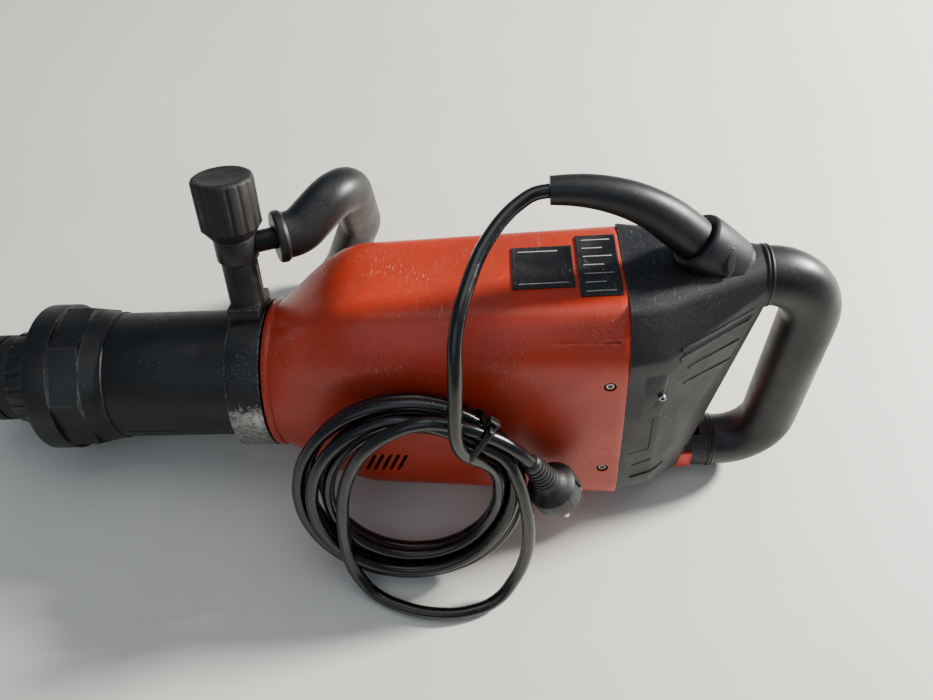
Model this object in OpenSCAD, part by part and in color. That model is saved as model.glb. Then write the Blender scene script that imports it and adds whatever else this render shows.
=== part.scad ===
// Electric demolition hammer, lying on a table with its side handle, lead and plug.
// Millimetres, +Z up. The tool is modelled along its own axis (x to the rear, z to the lead side,
// y away from the near side) and then laid down as a whole by lay_down().

/* [Motor housing] */
// Length of the red motor housing
housing_len = 258; // [220:1:320]
// Half of the housing's width at its rear edge
housing_half_w = 67; // [60:1:85]
// Height of the lead side above the tool's axis at the rear edge
housing_top = 98; // [90:1:120]
// Depth of the switch side below the axis at the rear edge
housing_bottom = 91; // [84:1:110]
// Length over which the round nose grows to the full section
nose_len = 60; // [50:1:80]
// How much lower the full section is at the nose than at the rear edge, on the switch side
belly_rise = 17; // [10:1:22]
// Wall of the housing shells
wall = 4; // [3:0.5:5]
// Radius of the housing's long edges
edge_r = 10; // [6:1:14]
// Width of the bevels along the housing's lead side
bevel_w = 20; // [12:1:24]
// Width of the bevels along the housing's switch side
keel_bevel_w = 12; // [8:1:18]

/* [Neck and chuck] */
// Outer radius of the neck cover
neck_r = 48.5; // [46:0.5:56]
// Length of the neck cover
neck_len = 123; // [115:1:150]
// How far the octagonal front cap's flats stand over the neck cover
cap_flat_over = 3.5; // [2:0.5:8]
// How far the front cap's round flange stands over its flats
cap_flange_over = 4.5; // [2:0.5:8]
// Length of the front cap in front of the neck cover
cap_len = 53; // [50:1:60]
// Outer radius of the chuck sleeve's grip ring
sleeve_ring_r = 36; // [35:0.5:44]
// Travel of the chuck sleeve
sleeve_travel = 7; // [4:0.5:7]
// Radius of the bore that takes the tool's shank
shank_r = 9; // [8:0.5:10]

/* [Side handle] */
// Width of the clamp band
band_w = 25; // [20:1:30]
// Thickness of the clamp band
band_t = 8.5; // [7:0.5:11]
// Lean of the clamp post from the lead side, away from the near side
post_angle = 12; // [5:1:20]
// Distance from the tool's axis to the top of the clamp post
post_top = 100; // [90:1:115]
// Radius of the clamp post
post_r = 13; // [11:0.5:16]
// Radius of the clamp knob
knob_r = 21.5; // [18:0.5:26]
// Height of the clamp knob
knob_h = 44; // [36:1:54]
// Radius of the rubber grip on the bow
bow_grip_r = 17; // [15:0.5:19]
// Radius of the bow's steel bar
bow_bar_r = 8; // [6:0.5:10]

/* [D-handle] */
// Radius of the D-handle
grip_r = 21; // [18:0.5:23]
// Distance from the housing's rear edge to the centre of the hand grip
grip_reach = 139; // [130:1:160]
// Height of the upper arm's centre above the tool's axis
upper_arm_z = 84; // [78:1:90]
// Depth of the lower arm's centre below the tool's axis
lower_arm_z = 96; // [90:1:104]

/* [Hammer mechanism] */
// Radius of the cylinder's bore
cylinder_r = 30; // [26:0.5:31]
// Throw of the crank
crank_throw = 16; // [12:1:16]
// Distance between the crank pin and the piston pin
conrod_len = 60; // [56:1:66]
// Teeth of the crank gear
crank_teeth = 52; // [44:4:52]
// Teeth of the motor pinion
pinion_teeth = 11; // [9:2:11]
// Module of both gears
gear_module = 1.75; // [1.5:0.05:1.75]

/* [Lead] */
// Diameter of the mains lead
lead_d = 9.5; // [8:0.5:11]

/* [Fits] */
// Radial clearance of a part that turns or slides
run_gap = 0.08; // [0.03:0.01:0.1]
// Gap between pieces of different bodies that do not fit into each other
free_gap = 0.4; // [0.3:0.1:1]

/* [Hidden] */

fine = 96;
medium = 48;
eps = 0.01;

// ---- how the tool lies -------------------------------------------------------------------------
// The roll that brings the far loop of the side handle down onto the table.
roll = 10;
cap_flat_r = neck_r + cap_flat_over;
cap_flange_r = cap_flat_r + cap_flange_over;
cap_front_x = -neck_len - cap_len;
chin_x = housing_len + 56;
chin_drop = lower_arm_z * cos(roll) + grip_r;
// The tool stands on the front cap's flange and on the root of the lower arm.
pitch = atan2(chin_drop - cap_flange_r, chin_x - cap_front_x);
axis_z = cap_flange_r * cos(pitch) - cap_front_x * sin(pitch);
// Centre of the whole tool's box on the table.
shift_x = -90.7;
shift_y = -43.7;

module lay_down() {
    translate([shift_x, shift_y, axis_z]) rotate([0, -pitch, 0]) rotate([-roll, 0, 0]) children();
}

// ---- small helpers -----------------------------------------------------------------------------
// A round bar along x.
module bar_x(x0, x1, r, n = fine) {
    translate([x0, 0, 0]) rotate([0, 90, 0]) cylinder(h = x1 - x0, r = r, $fn = n);
}

// A ring along x.
module ring_x(x0, x1, r_out, r_in, n = fine) {
    difference() {
        bar_x(x0, x1, r_out, n);
        bar_x(x0 - 1, x1 + 1, r_in, n);
    }
}

// A ring along z, standing at x.
module ring_z(x, z0, z1, r_out, r_in, n = medium) {
    translate([x, 0, z0]) difference() {
        cylinder(h = z1 - z0, r = r_out, $fn = n);
        translate([0, 0, -1]) cylinder(h = z1 - z0 + 2, r = r_in, $fn = n);
    }
}

function unit(v) = v / norm(v);

// The arc that rounds corner b of the path a, b, c.
function corner_arc(a, b, c, r, n) =
    let (
        u = unit(a - b),
        w = unit(c - b),
        half = acos(u * w) / 2,
        turn = 180 - 2 * half,
        centre = b + unit(u + w) * r / sin(half),
        s = b + u * r / tan(half) - centre,
        e = b + w * r / tan(half) - centre
    )
    [for (i = [0:n]) centre + (s * sin((1 - i / n) * turn) + e * sin(i / n * turn)) / sin(turn)];

// A path through corner points, with every inner corner rounded.
function rounded_path(p, r, n) = [
    p[0],
    for (i = [1:len(p) - 2]) each corner_arc(p[i - 1], p[i], p[i + 1], r, n),
    p[len(p) - 1]
];

function tangents(p) = [
    for (i = [0:len(p) - 1]) unit(p[min(i + 1, len(p) - 1)] - p[max(i - 1, 0)])
];
function carried(n, t) = unit(n - (n * t) * t);
function ring_normals(t, n, i = 0) =
    i == len(t) ? [] : let (m = carried(n, t[i])) concat([m], ring_normals(t, m, i + 1));

// Points of a round tube along a path: radius radii[i] at point i.
function tube_points(p, radii, sides, start) =
    let (t = tangents(p), m = ring_normals(t, start))
    [
        for (i = [0:len(p) - 1], k = [0:sides - 1])
            let (a = 360 * k / sides)
            p[i] + radii[i] * (m[i] * cos(a) + cross(t[i], m[i]) * sin(a))
    ];

function tube_sides(rings, sides) = [
    for (i = [0:rings - 2], k = [0:sides - 1])
        let (j = (k + 1) % sides)
        [i * sides + k, (i + 1) * sides + k, (i + 1) * sides + j, i * sides + j]
];

// A solid tube swept along a path.
module swept(p, radii, sides = 12, start = [0, 0, 1]) {
    n = len(p);
    polyhedron(
        points = tube_points(p, radii, sides, start),
        faces = concat(
            tube_sides(n, sides),
            [[for (k = [0:sides - 1]) k]],
            [[for (k = [sides - 1:-1:0]) (n - 1) * sides + k]]
        )
    );
}

// A hollow tube swept along a path.
module swept_sleeve(p, r_out, r_in, sides = 12, start = [0, 0, 1]) {
    n = len(p);
    inner = n * sides;
    flat_out = [for (i = [1:n]) r_out];
    flat_in = [for (i = [1:n]) r_in];
    ends = [
        for (k = [0:sides - 1])
            let (j = (k + 1) % sides)
            each [
                [k, j, inner + j, inner + k],
                [
                    (n - 1) * sides + j, (n - 1) * sides + k,
                    inner + (n - 1) * sides + k, inner + (n - 1) * sides + j
                ]
            ]
    ];
    polyhedron(
        points = concat(
            tube_points(p, flat_out, sides, start),
            tube_points(p, flat_in, sides, start)
        ),
        faces = concat(
            tube_sides(n, sides),
            [for (f = tube_sides(n, sides)) [f[3] + inner, f[2] + inner, f[1] + inner, f[0] + inner]],
            ends
        )
    );
}

// ---- housing section ---------------------------------------------------------------------------
bevel_h = 30;
keel_bevel_h = 22;
// Bevelled, rounded cross-section: half width w, from -bottom to top, shrunk by inset.
module section(w, top, bottom, inset = 0) {
    r = edge_r - inset;
    e = edge_r;
    hull() for (s = [-1, 1]) {
        translate([s * (w - bevel_w - e / 2), top - e]) circle(r = r, $fn = 32);
        translate([s * (w - e), top - bevel_h - e / 2]) circle(r = r, $fn = 32);
        translate([s * (w - e - 2), -bottom + keel_bevel_h]) circle(r = r, $fn = 32);
        translate([s * (w - keel_bevel_w - e), -bottom + e]) circle(r = r, $fn = 32);
    }
}

module slab(x, t, w, top, bottom, inset = 0) {
    translate([x, 0, 0]) rotate([90, 0, 90]) linear_extrude(t) section(w, top, bottom, inset);
}

nose_half_w = housing_half_w - 5;
nose_top = housing_top - 5;
nose_bottom = housing_bottom - belly_rise;
nose_r = neck_r + band_t - 1;

module housing_form(inset, x0, x1) {
    hull() {
        bar_x(x0, 10, nose_r - inset);
        slab(nose_len, 1, nose_half_w, nose_top, nose_bottom, inset);
        slab(x1 - 1, 1, housing_half_w, housing_top, housing_bottom, inset);
    }
}

// ---- driving positions of the mechanism --------------------------------------------------------
barrel_r = neck_r - 5;
cylinder_out_r = cylinder_r + 6;
cylinder_end_x = 100;
barrel_front_x = -neck_len - 14;
crank_x = cylinder_end_x + 24;
// At rest the crank stands at its rear dead centre.
piston_pin_x = crank_x + crank_throw - conrod_len;
piston_front_x = piston_pin_x - 2 * crank_throw - 14;
piston_rear_x = cylinder_end_x - 2;
// Cushion of air between the piston at its front dead centre and the ram.
air_cushion = 6;
ram_len = 40;
ram_travel = 28;
ram_x = piston_front_x - 2 * crank_throw - air_cushion - ram_len;
holder_rear_x = ram_x - ram_travel - 20;
gear_r = gear_module * crank_teeth / 2;
pinion_r = gear_module * pinion_teeth / 2;
motor_x = crank_x + gear_r + pinion_r;
gear_z = -54;
gear_t = 12;
crank_pin_r = 7;
case_r = gear_r + gear_module + 2.8;
shaft_r = 6;
stator_z = 14;
stator_h = 66;
armature_r = 24;
air_gap = 0.6;

// A spur gear with straight-flanked teeth, one tooth towards +x.
module gear(teeth, z, h) {
    r = gear_module * teeth / 2;
    root = r - 0.95 * gear_module;
    tip = r + 0.75 * gear_module;
    pitch_a = 360 / teeth;
    translate([0, 0, z]) linear_extrude(h) polygon([
        for (i = [0:teeth - 1], c = [[root, -0.34], [tip, -0.13], [tip, 0.13], [root, 0.34]])
            let (a = (i + c[1]) * pitch_a)
            [c[0] * cos(a), c[0] * sin(a)]
    ]);
}

// ---- motor housing -----------------------------------------------------------------------------
vent_count = 7;
vent_pitch = 6;
module red_housing() color("#C8431F") lay_down() difference() {
    housing_form(0, 0, housing_len);
    housing_form(wall, wall, housing_len + 1);
    bar_x(-1, wall + 2, barrel_r + run_gap);
    for (i = [0:vent_count - 1])
        translate([nose_len + i * vent_pitch, 0, -38])
            rotate([0, 25, 0])
            cube([3, 4 * housing_half_w, 22], center = true);
    screw_holes();
}

housing_screw_x = housing_len - 12;
housing_screw_z = [46, -44];
housing_screw_r = 3;
module screw_holes() {
    for (s = [-1, 1], z = housing_screw_z)
        translate([housing_screw_x, s * housing_half_w, z]) rotate([90, 0, 0])
            cylinder(h = 2 * wall + 8, r = housing_screw_r, center = true, $fn = medium);
}

// Countersunk screws through the shell near its rear edge.
module housing_screws() color("#2A2A2C") lay_down()
    for (s = [-1, 1], z = housing_screw_z)
        translate([housing_screw_x, s * (housing_half_w - 2.6), z]) rotate([s * 90, 0, 0])
            difference() {
                cylinder(h = 3, r = housing_screw_r - 0.1, center = true, $fn = medium);
                translate([0, 0, -1.2]) cylinder(h = 2, r = 1.6, center = true, $fn = 6);
            }

// Two blank plates on the lead side.
plate_t = 0.8;
module plate(x0, len_x, half_y) {
    translate([x0, -half_y, housing_top + 0.02])
        rotate([0, -atan2(housing_top - nose_top, housing_len - nose_len), 0])
        cube([len_x, 2 * half_y, plate_t]);
}
module label_plate() color("#17181A") lay_down()
    translate([0, 0, -plate_drop(housing_len - 76)]) plate(housing_len - 76, 42, 22);
module rating_plate() color("#1C1D1F") lay_down()
    translate([0, 0, -plate_drop(housing_len - 31)]) plate(housing_len - 31, 28, 32);
function plate_drop(x) = (housing_len - x) * (housing_top - nose_top) / (housing_len - nose_len);

// ---- rear housing and D-handle -----------------------------------------------------------------
spine_top_x = housing_len + 96;
module rear_form(inset, x0) {
    hull() {
        slab(x0, 1, housing_half_w, housing_top, housing_bottom, inset);
        slab(x0 + 24, 1, housing_half_w - 5, housing_top, housing_bottom, inset);
        translate([0, 0, upper_arm_z])
            bar_x(spine_top_x - 2 - inset, spine_top_x - inset, grip_r - inset, medium);
        translate([0, 0, -lower_arm_z]) bar_x(chin_x - inset, chin_x + 2 - inset, grip_r - inset, medium);
    }
}

switch_x = housing_len + 62;
switch_half_w = 10;
switch_low = -lower_arm_z - grip_r + 3;
switch_high = -34;
switch_pin_z = -78;

module rear_housing() color("#26282B") lay_down() difference() {
    union() {
        rear_form(0, housing_len);
        // roots of the two arms
        translate([0, 0, upper_arm_z]) bar_x(spine_top_x - 3, upper_grip_x, grip_r, medium);
        translate([0, 0, -lower_arm_z]) bar_x(chin_x, lower_grip_x, grip_r, medium);
        // raised socket for the lead's boot
        at_boot() translate([0, 0, -50]) cylinder(h = 50, r = boot_socket_r, $fn = medium);
    }
    rear_form(wall, housing_len - 1);
    at_boot() translate([0, 0, -30]) cylinder(h = 31, r = boot_plug_r, $fn = medium);
    // slot that the switch lever rocks in
    translate([switch_x - 13, -switch_half_w - free_gap, switch_low - 8])
        cube([26, 2 * (switch_half_w + free_gap), switch_high - switch_low + 14]);
    translate([switch_x, 0, switch_pin_z]) rotate([90, 0, 0])
        cylinder(h = 60, r = 3, center = true, $fn = medium);
    hatch_seat(0.2);
}

hatch_x = housing_len + 12;
module hatch_seat(gap) {
    translate([hatch_x - gap, -housing_half_w - 2, 8 - gap])
        cube([26 + 2 * gap, 9 + gap, 44 + 2 * gap]);
}

// Cover over the brushes, on the near side.
module service_hatch() color("#2B2D30") lay_down() difference() {
    intersection() {
        rear_form(0, housing_len);
        hatch_seat(0);
    }
    translate([hatch_x + 13, -housing_half_w, 30]) rotate([90, 0, 0])
        cylinder(h = 40, r = 2.6, center = true, $fn = medium);
}

module hatch_screw() color("#8C8E90") lay_down()
    translate([hatch_x + 13, -housing_half_w + 5, 30]) rotate([90, 0, 0])
        difference() {
            cylinder(h = 4, r = 2.5, center = true, $fn = medium);
            translate([0, 0, 1.4]) cylinder(h = 2, r = 1.4, center = true, $fn = 6);
        }

upper_grip_x = spine_top_x + 2;
lower_grip_x = housing_len + 84;
grip_top_x = housing_len + grip_reach;
grip_low_x = grip_top_x - 12;
handle_corner_r = 38;
handle_path = rounded_path([
    [upper_grip_x, 0, upper_arm_z],
    [grip_top_x, 0, upper_arm_z],
    [grip_low_x, 0, -lower_arm_z],
    [lower_grip_x, 0, -lower_arm_z]
], handle_corner_r, 10);

module handle_grip() color("#1F2022") lay_down()
    swept(handle_path, [for (p = handle_path) grip_r], 24, [0, 1, 0]);

// Red rocker that shows on both sides of the lower arm's root.
module switch_lever() color("#D63A22") lay_down() difference() {
    translate([switch_x, switch_half_w, 0]) rotate([90, 0, 0])
        linear_extrude(2 * switch_half_w) polygon([
            [-6, switch_high - 8], [2, switch_high], [9, switch_high - 8],
            [7, switch_pin_z + 8], [7, switch_pin_z - 8], [9, switch_low + 6],
            [2, switch_low], [-8, switch_low + 3], [-7, switch_pin_z]
        ]);
    translate([switch_x, 0, switch_pin_z]) rotate([90, 0, 0])
        cylinder(h = 60, r = 3 + run_gap, center = true, $fn = medium);
}

module switch_pin() color("#8A8C8E") lay_down()
    translate([switch_x, 0, switch_pin_z]) rotate([90, 0, 0])
        cylinder(h = 2 * (switch_half_w + 7), r = 3, center = true, $fn = medium);

module switch_module() color("#3A3C3E") lay_down()
    translate([housing_len + 22, -9, -64]) cube([20, 18, 26]);

// ---- neck and chuck ----------------------------------------------------------------------------
groove_len = 38;
// Angles of the three grooves below the near side.
groove_angles = [18, 26, 34];
module neck_cover() color("#1D1F22") lay_down() difference() {
    ring_x(-neck_len, -free_gap, neck_r, barrel_r + run_gap);
    for (a = groove_angles)
        rotate([a, 0, 0]) translate([-neck_len + 10, -neck_r - 1, -1.2])
            cube([groove_len, 3, 2.4]);
}

cap_oct_x = cap_front_x + 18;
cap_cone_x = cap_oct_x + 22;
sleeve_tail_r = 33;
module front_cap() color("#1B1C1E") lay_down() difference() {
    union() {
        bar_x(cap_front_x, cap_oct_x, cap_flange_r);
        translate([cap_oct_x - eps, 0, 0]) rotate([0, 90, 0]) rotate([0, 0, 22.5])
            cylinder(h = 22 + eps, r = cap_flat_r / cos(22.5), $fn = 8);
        translate([cap_cone_x - eps, 0, 0]) rotate([0, 90, 0])
            cylinder(h = -neck_len - cap_cone_x + eps, r1 = cap_flat_r, r2 = neck_r, $fn = fine);
    }
    bar_x(cap_front_x - 1, cap_front_x + 30, sleeve_tail_r + 0.5);
    bar_x(barrel_front_x, -neck_len + 1, barrel_r + run_gap);
    bar_x(cap_front_x + 20, barrel_front_x + 1, cylinder_out_r + 1);
    cap_screw_places() cylinder(h = 14, r = 4.2, $fn = medium);
}
module cap_screw_places() {
    for (a = [45:90:315])
        translate([cap_front_x - eps, 0, 0]) rotate([a, 0, 0]) translate([0, 0, 43])
            rotate([0, 90, 0]) children();
}
module front_cap_screws() color("#6E7072") lay_down() cap_screw_places()
    translate([0, 0, 4]) difference() {
        cylinder(h = 9.5, r = 4.1, $fn = medium);
        translate([0, 0, -1]) cylinder(h = 5, r = 2.4, $fn = 6);
    }

holder_body_r = 30;
sleeve_x = cap_front_x - 8;
module chuck_sleeve() color("#202124") lay_down() difference() {
    union() {
        bar_x(sleeve_x - 17, sleeve_x, sleeve_ring_r);
        bar_x(sleeve_x - eps, cap_front_x + 6, sleeve_tail_r);
    }
    bar_x(sleeve_x - 20, cap_front_x + 10, holder_body_r + run_gap);
    for (a = [0:20:340]) rotate([a, 0, 0])
        translate([sleeve_x - 18, 0, sleeve_ring_r + 1.2]) rotate([0, 90, 0])
            cylinder(h = 16, r = 2.4, $fn = 24);
}

module sleeve_spring() color("#9A9C9E") lay_down()
    for (i = [0:3])
        translate([cap_front_x + 15.5 + 3.6 * i, 0, 0]) rotate([0, 90, 0])
            rotate_extrude($fn = medium) translate([holder_body_r + 1.7, 0]) circle(r = 1.5, $fn = 16);

dust_front_x = sleeve_x - 46;
module dust_cap() color("#17181A") lay_down() difference() {
    union() {
        bar_x(dust_front_x + 6, sleeve_x - 17 - sleeve_gap, sleeve_ring_r - 2.5);
        translate([dust_front_x, 0, 0]) rotate([0, 90, 0])
            cylinder(h = 6 + eps, r1 = sleeve_ring_r - 12, r2 = sleeve_ring_r - 2.5, $fn = fine);
    }
    bar_x(dust_front_x - 1, sleeve_x, shank_r + 1.5);
    bar_x(dust_front_x + 8, sleeve_x, nose_out_r);
    ring_x(dust_front_x + 16, dust_front_x + 19, sleeve_ring_r, sleeve_ring_r - 4);
}
sleeve_gap = 1;
nose_out_r = 22;
anvil_r = 20;
module tool_holder() color("#7C7E80") lay_down() difference() {
    union() {
        bar_x(dust_front_x + 8, sleeve_x - 17, nose_out_r);
        bar_x(sleeve_x - 17 - sleeve_gap + eps, barrel_front_x, holder_body_r);
        bar_x(barrel_front_x - eps, holder_rear_x, cylinder_out_r);
    }
    bar_x(dust_front_x, holder_rear_x - 50 + eps, shank_r);
    bar_x(holder_rear_x - 50, holder_rear_x + 1, anvil_r + run_gap);
    bar_x(holder_rear_x - 8, holder_rear_x + 1, anvil_r + 4);
}

module anvil_seal() color("#111111") lay_down()
    ring_x(holder_rear_x - 8, holder_rear_x - 2, anvil_r + 4, anvil_r - 5.5);

module anvil() color("#A9ABAD") lay_down() {
    bar_x(holder_rear_x - 46, holder_rear_x - 16, anvil_r);
    bar_x(holder_rear_x - 16 - eps, holder_rear_x + 16, anvil_r - 6);
}

module barrel() color("#8B8D8F") lay_down()
    ring_x(barrel_front_x, wall + 16, barrel_r, cylinder_out_r);

module cylinder_liner() color("#B4B6B8") lay_down()
    ring_x(holder_rear_x, cylinder_end_x, cylinder_out_r, cylinder_r);

ring_groove = 2;
module ram() color("#9C9EA0") lay_down() difference() {
    bar_x(ram_x, ram_x + ram_len, cylinder_r - run_gap);
    ring_x(ram_x + 18, ram_x + 22, cylinder_r + 1, cylinder_r - ring_groove);
}
module ram_ring() color("#151515") lay_down()
    ring_x(ram_x + 18, ram_x + 22, cylinder_r - run_gap, cylinder_r - ring_groove);

module piston() color("#BFC1C3") lay_down() difference() {
    bar_x(piston_front_x, piston_rear_x, cylinder_r - run_gap);
    bar_x(piston_front_x + 5, piston_rear_x + 1, cylinder_r - 4);
    ring_x(piston_front_x + 1.2, piston_front_x + 4.2, cylinder_r + 1, cylinder_r - ring_groove);
}
module piston_ring() color("#151515") lay_down()
    ring_x(piston_front_x + 1.2, piston_front_x + 4.2, cylinder_r - run_gap, cylinder_r - ring_groove);

small_end_r = 8;
pin_r = 4;
module conrod() color("#9FA1A3") lay_down() difference() {
    union() {
        translate([crank_x + crank_throw, 0, 0]) cylinder(h = 14, r = 13, center = true, $fn = medium);
        translate([piston_pin_x, 0, 0]) cylinder(h = 14, r = small_end_r, center = true, $fn = medium);
        translate([piston_pin_x, -5, -4]) cube([conrod_len, 10, 8]);
    }
    translate([crank_x + crank_throw, 0, 0])
        cylinder(h = 30, r = crank_pin_r + run_gap, center = true, $fn = medium);
    translate([piston_pin_x, 0, 0]) cylinder(h = 30, r = pin_r, center = true, $fn = medium);
}
module piston_pin() color("#D0D2D4") lay_down()
    translate([piston_pin_x, 0, 0]) cylinder(h = 26, r = pin_r, center = true, $fn = medium);

module crank_gear() color("#8E9092") lay_down() translate([crank_x, 0, 0]) {
    gear(crank_teeth, gear_z, gear_t);
    translate([crank_throw, 0, gear_z + gear_t - eps])
        cylinder(h = 10 - gear_z - gear_t, r = crank_pin_r, $fn = medium);
    translate([0, 0, gear_z - 14]) cylinder(h = 14 + eps, r = 8, $fn = medium);
}
module crank_bearing() color("#C8CACC") lay_down()
    ring_z(crank_x, gear_z - 13, gear_z - 5, 14, 8 + run_gap);

module gear_case() color("#A6A8AA") lay_down() difference() {
    union() {
        ring_x(wall + 16, cylinder_end_x - 4, cylinder_out_r + 4, cylinder_out_r);
        translate([crank_x, 0, gear_z - 4]) cylinder(h = gear_t + 8, r = case_r, $fn = fine);
        translate([crank_x, 0, gear_z - 16]) cylinder(h = 14, r = 17, $fn = medium);
        translate([motor_x, 0, gear_z - 6]) cylinder(h = gear_t + 10, r = 15, $fn = medium);
        translate([crank_x - 60, -22, gear_z - 4]) cube([50, 44, gear_t + 8]);
    }
    bar_x(0, cylinder_end_x + 1, cylinder_out_r);
    translate([crank_x, 0, gear_z - 2]) cylinder(h = 60, r = case_r - 2.3, $fn = fine);
    translate([motor_x, 0, gear_z - 2]) cylinder(h = 60, r = 12.5, $fn = medium);
    translate([crank_x, 0, gear_z - 5 - 8]) cylinder(h = 20, r = 14, $fn = medium);
    translate([crank_x, 0, gear_z - 20]) cylinder(h = 20, r = 9, $fn = medium);
}

module gear_case_lid() color("#9A9C9E") lay_down() difference() {
    translate([crank_x, 0, gear_z + gear_t + 4])
        cylinder(h = 3, r = case_r, $fn = fine);
    translate([crank_x, 0, gear_z]) cylinder(h = 40, r = crank_throw + crank_pin_r + 2, $fn = medium);
    bar_x(0, cylinder_end_x + 1, cylinder_out_r + 4.5);
    translate([motor_x, 0, gear_z]) cylinder(h = 40, r = 15, $fn = medium);
}

// ---- motor -------------------------------------------------------------------------------------
module stator() color("#6D6F71") lay_down()
    ring_z(motor_x, stator_z, stator_z + stator_h, 36, armature_r + air_gap);
module windings() color("#B4652D") lay_down() {
    ring_z(motor_x, stator_z - 3, stator_z, 33, armature_r + 2);
    ring_z(motor_x, stator_z + stator_h, stator_z + stator_h + 3, 33, armature_r + 2);
}
module rotor_shaft() color("#B0B2B4") lay_down() translate([motor_x, 0, 0]) {
    translate([0, 0, gear_z + gear_t - eps])
        cylinder(h = stator_z + stator_h + 9 - gear_z - gear_t, r = shaft_r, $fn = medium);
    gear(pinion_teeth, gear_z, gear_t);
}
module armature() color("#77797B") lay_down()
    ring_z(motor_x, stator_z + 4, stator_z + stator_h - 4, armature_r, shaft_r);
module commutator() color("#B87333") lay_down() ring_z(motor_x, -14, 6, 13, shaft_r);
module cooling_fan() color("#3B3D3F") lay_down() translate([motor_x, 0, 0]) {
    ring_z(0, -31, -29, 26, shaft_r);
    for (a = [0:36:324]) rotate([0, 0, a]) translate([10, -0.8, -29 - eps]) cube([15, 1.6, 8]);
}
module motor_bearings() color("#C8CACC") lay_down() {
    ring_z(motor_x, stator_z + stator_h + 3.5, stator_z + stator_h + 9, 11, shaft_r + run_gap);
    ring_z(motor_x, gear_z + gear_t + 3, gear_z + gear_t + 8, 12, shaft_r + run_gap);
}
brush_gap = 0.2;
module carbon_brushes() color("#2E2F31") lay_down()
    for (s = [-1, 1]) translate([motor_x - 3, s > 0 ? 13 + brush_gap : -27 - brush_gap, -9])
        cube([6, 14, 10]);
module brush_holders() color("#C9A24A") lay_down()
    for (s = [-1, 1]) difference() {
        translate([motor_x - 6, s > 0 ? 16 : -34, -12]) cube([12, 18, 16]);
        translate([motor_x - 3, s > 0 ? 13 : -27 - brush_gap, -9]) cube([6, 14 + brush_gap, 10]);
    }

module electronics_box() color("#3C4A3E") lay_down()
    translate([housing_len - 34, -30, -30]) cube([26, 60, 60]);
module terminal_block() color("#D8D4C8") lay_down()
    translate([housing_len + 8, -14, 56]) cube([20, 28, 14]);

// ---- lead --------------------------------------------------------------------------------------
boot_base = [housing_len + 46, 0, upper_arm_z + 33];
boot_rise = 42;
boot_tip = boot_base + [-97, 0, 43];
boot_knee = [boot_base[0] - 43 / tan(boot_rise), 0, boot_tip[2]];
boot_socket_r = 18.5;
boot_plug_r = 12;
boot_r = 15;
boot_tip_r = 9.3;
module at_boot() {
    translate(boot_base) rotate([0, boot_rise - 90, 0]) children();
}

module cord_clamp() color("#1A1A1A") lay_down()
    at_boot() translate([0, 0, -27]) cylinder(h = 4, r = boot_plug_r, $fn = medium);

boot_path = rounded_path([boot_base, boot_knee, boot_tip], 110, 12);
boot_last = len(boot_path) - 1;
function boot_radius(s) = boot_r + (boot_tip_r - boot_r) * s;

// Bend guard of the lead, with a thicker lip at its mouth.
module cord_boot() color("#1B1C1E") lay_down()
    swept(boot_path, [for (i = [0:boot_last]) boot_radius(i / boot_last)], 20, [0, 1, 0]);

// The lead hangs from the boot, is wound up against the housing and ends in its plug.
// The points are in the row's frame.
lead_r = lead_d / 2;
lead_points = [
    [96, -16, 258.3], [86, -18, 256.5], [77, -24, 254], [68, -33, 251], [59, -46, 247],
    [52, -60, 243.5], [46, -78, 239], [41, -97, 233], [39, -113, 223], [40, -126, 207],
    [41, -134, 190], [42, -140, 173], [44, -144, 158], [48, -145, 146], [55, -144, 136],
    [63, -142, 127]
];
loop_points = [
    [68, -138, 137], [79, -142, 131], [88, -150, 117], [96, -160, 95], [101, -169, 69],
    [101, -177, 44], [95, -186, 22], [83, -197, 7.5], [64, -205, 5.2], [38, -208, 5.2],
    [12, -203, 5.2], [-7, -195, 6.2], [-19, -187, 15], [-27, -179, 30], [-31, -171, 50],
    [-32, -164, 72], [-31, -155, 94], [-25, -147, 117], [-14, -141, 137], [2, -136, 151],
    [20, -133, 159], [38, -132, 157.5]
];
tail_points = [
    [38, -132, 157.5], [52, -133, 154], [64, -134, 149], [75, -135.5, 143.5], [86, -138, 135.5],
    [96, -140, 125]
];
coil_r = 70;
coil_tube_r = 13.5;
coil_lean = 23;
coil_centre = [16, -142.5, coil_r * cos(coil_lean) + coil_tube_r + 0.3];
tie_angle = 56;

module lead_tube() color("#101114") swept(lead_points, [for (p = lead_points) lead_r], 10);
module lead_loop() color("#101114") swept(loop_points, [for (p = loop_points) lead_r], 10, [0, 1, 0]);
module lead_tail() color("#101114") swept(tail_points, [for (p = tail_points) lead_r], 10);

module in_coil_plane() {
    translate(coil_centre) rotate([90 - coil_lean, 0, 0]) children();
}

module lead_coil() color("#101114") in_coil_plane()
    rotate_extrude($fn = fine) translate([coil_r, 0]) circle(r = coil_tube_r, $fn = 32);

// Strap round the bundle and the lead in front of it.
tie_w = 5;
// Where the strands in front of the bundle pass through the tie.
tie_strands = [[-2, 24], [14, 20]];
module tie_outline(grow) {
    hull() {
        circle(r = coil_tube_r + 0.6 + grow, $fn = 32);
        for (p = tie_strands) translate(p) circle(r = lead_r + 1 + grow, $fn = 32);
    }
}
module cable_tie() color("#141414") in_coil_plane()
    rotate([0, 0, tie_angle]) translate([coil_r, tie_w / 2, 0]) rotate([90, 0, 0])
        linear_extrude(tie_w) difference() {
            tie_outline(1.4);
            tie_outline(0);
        }

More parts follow.
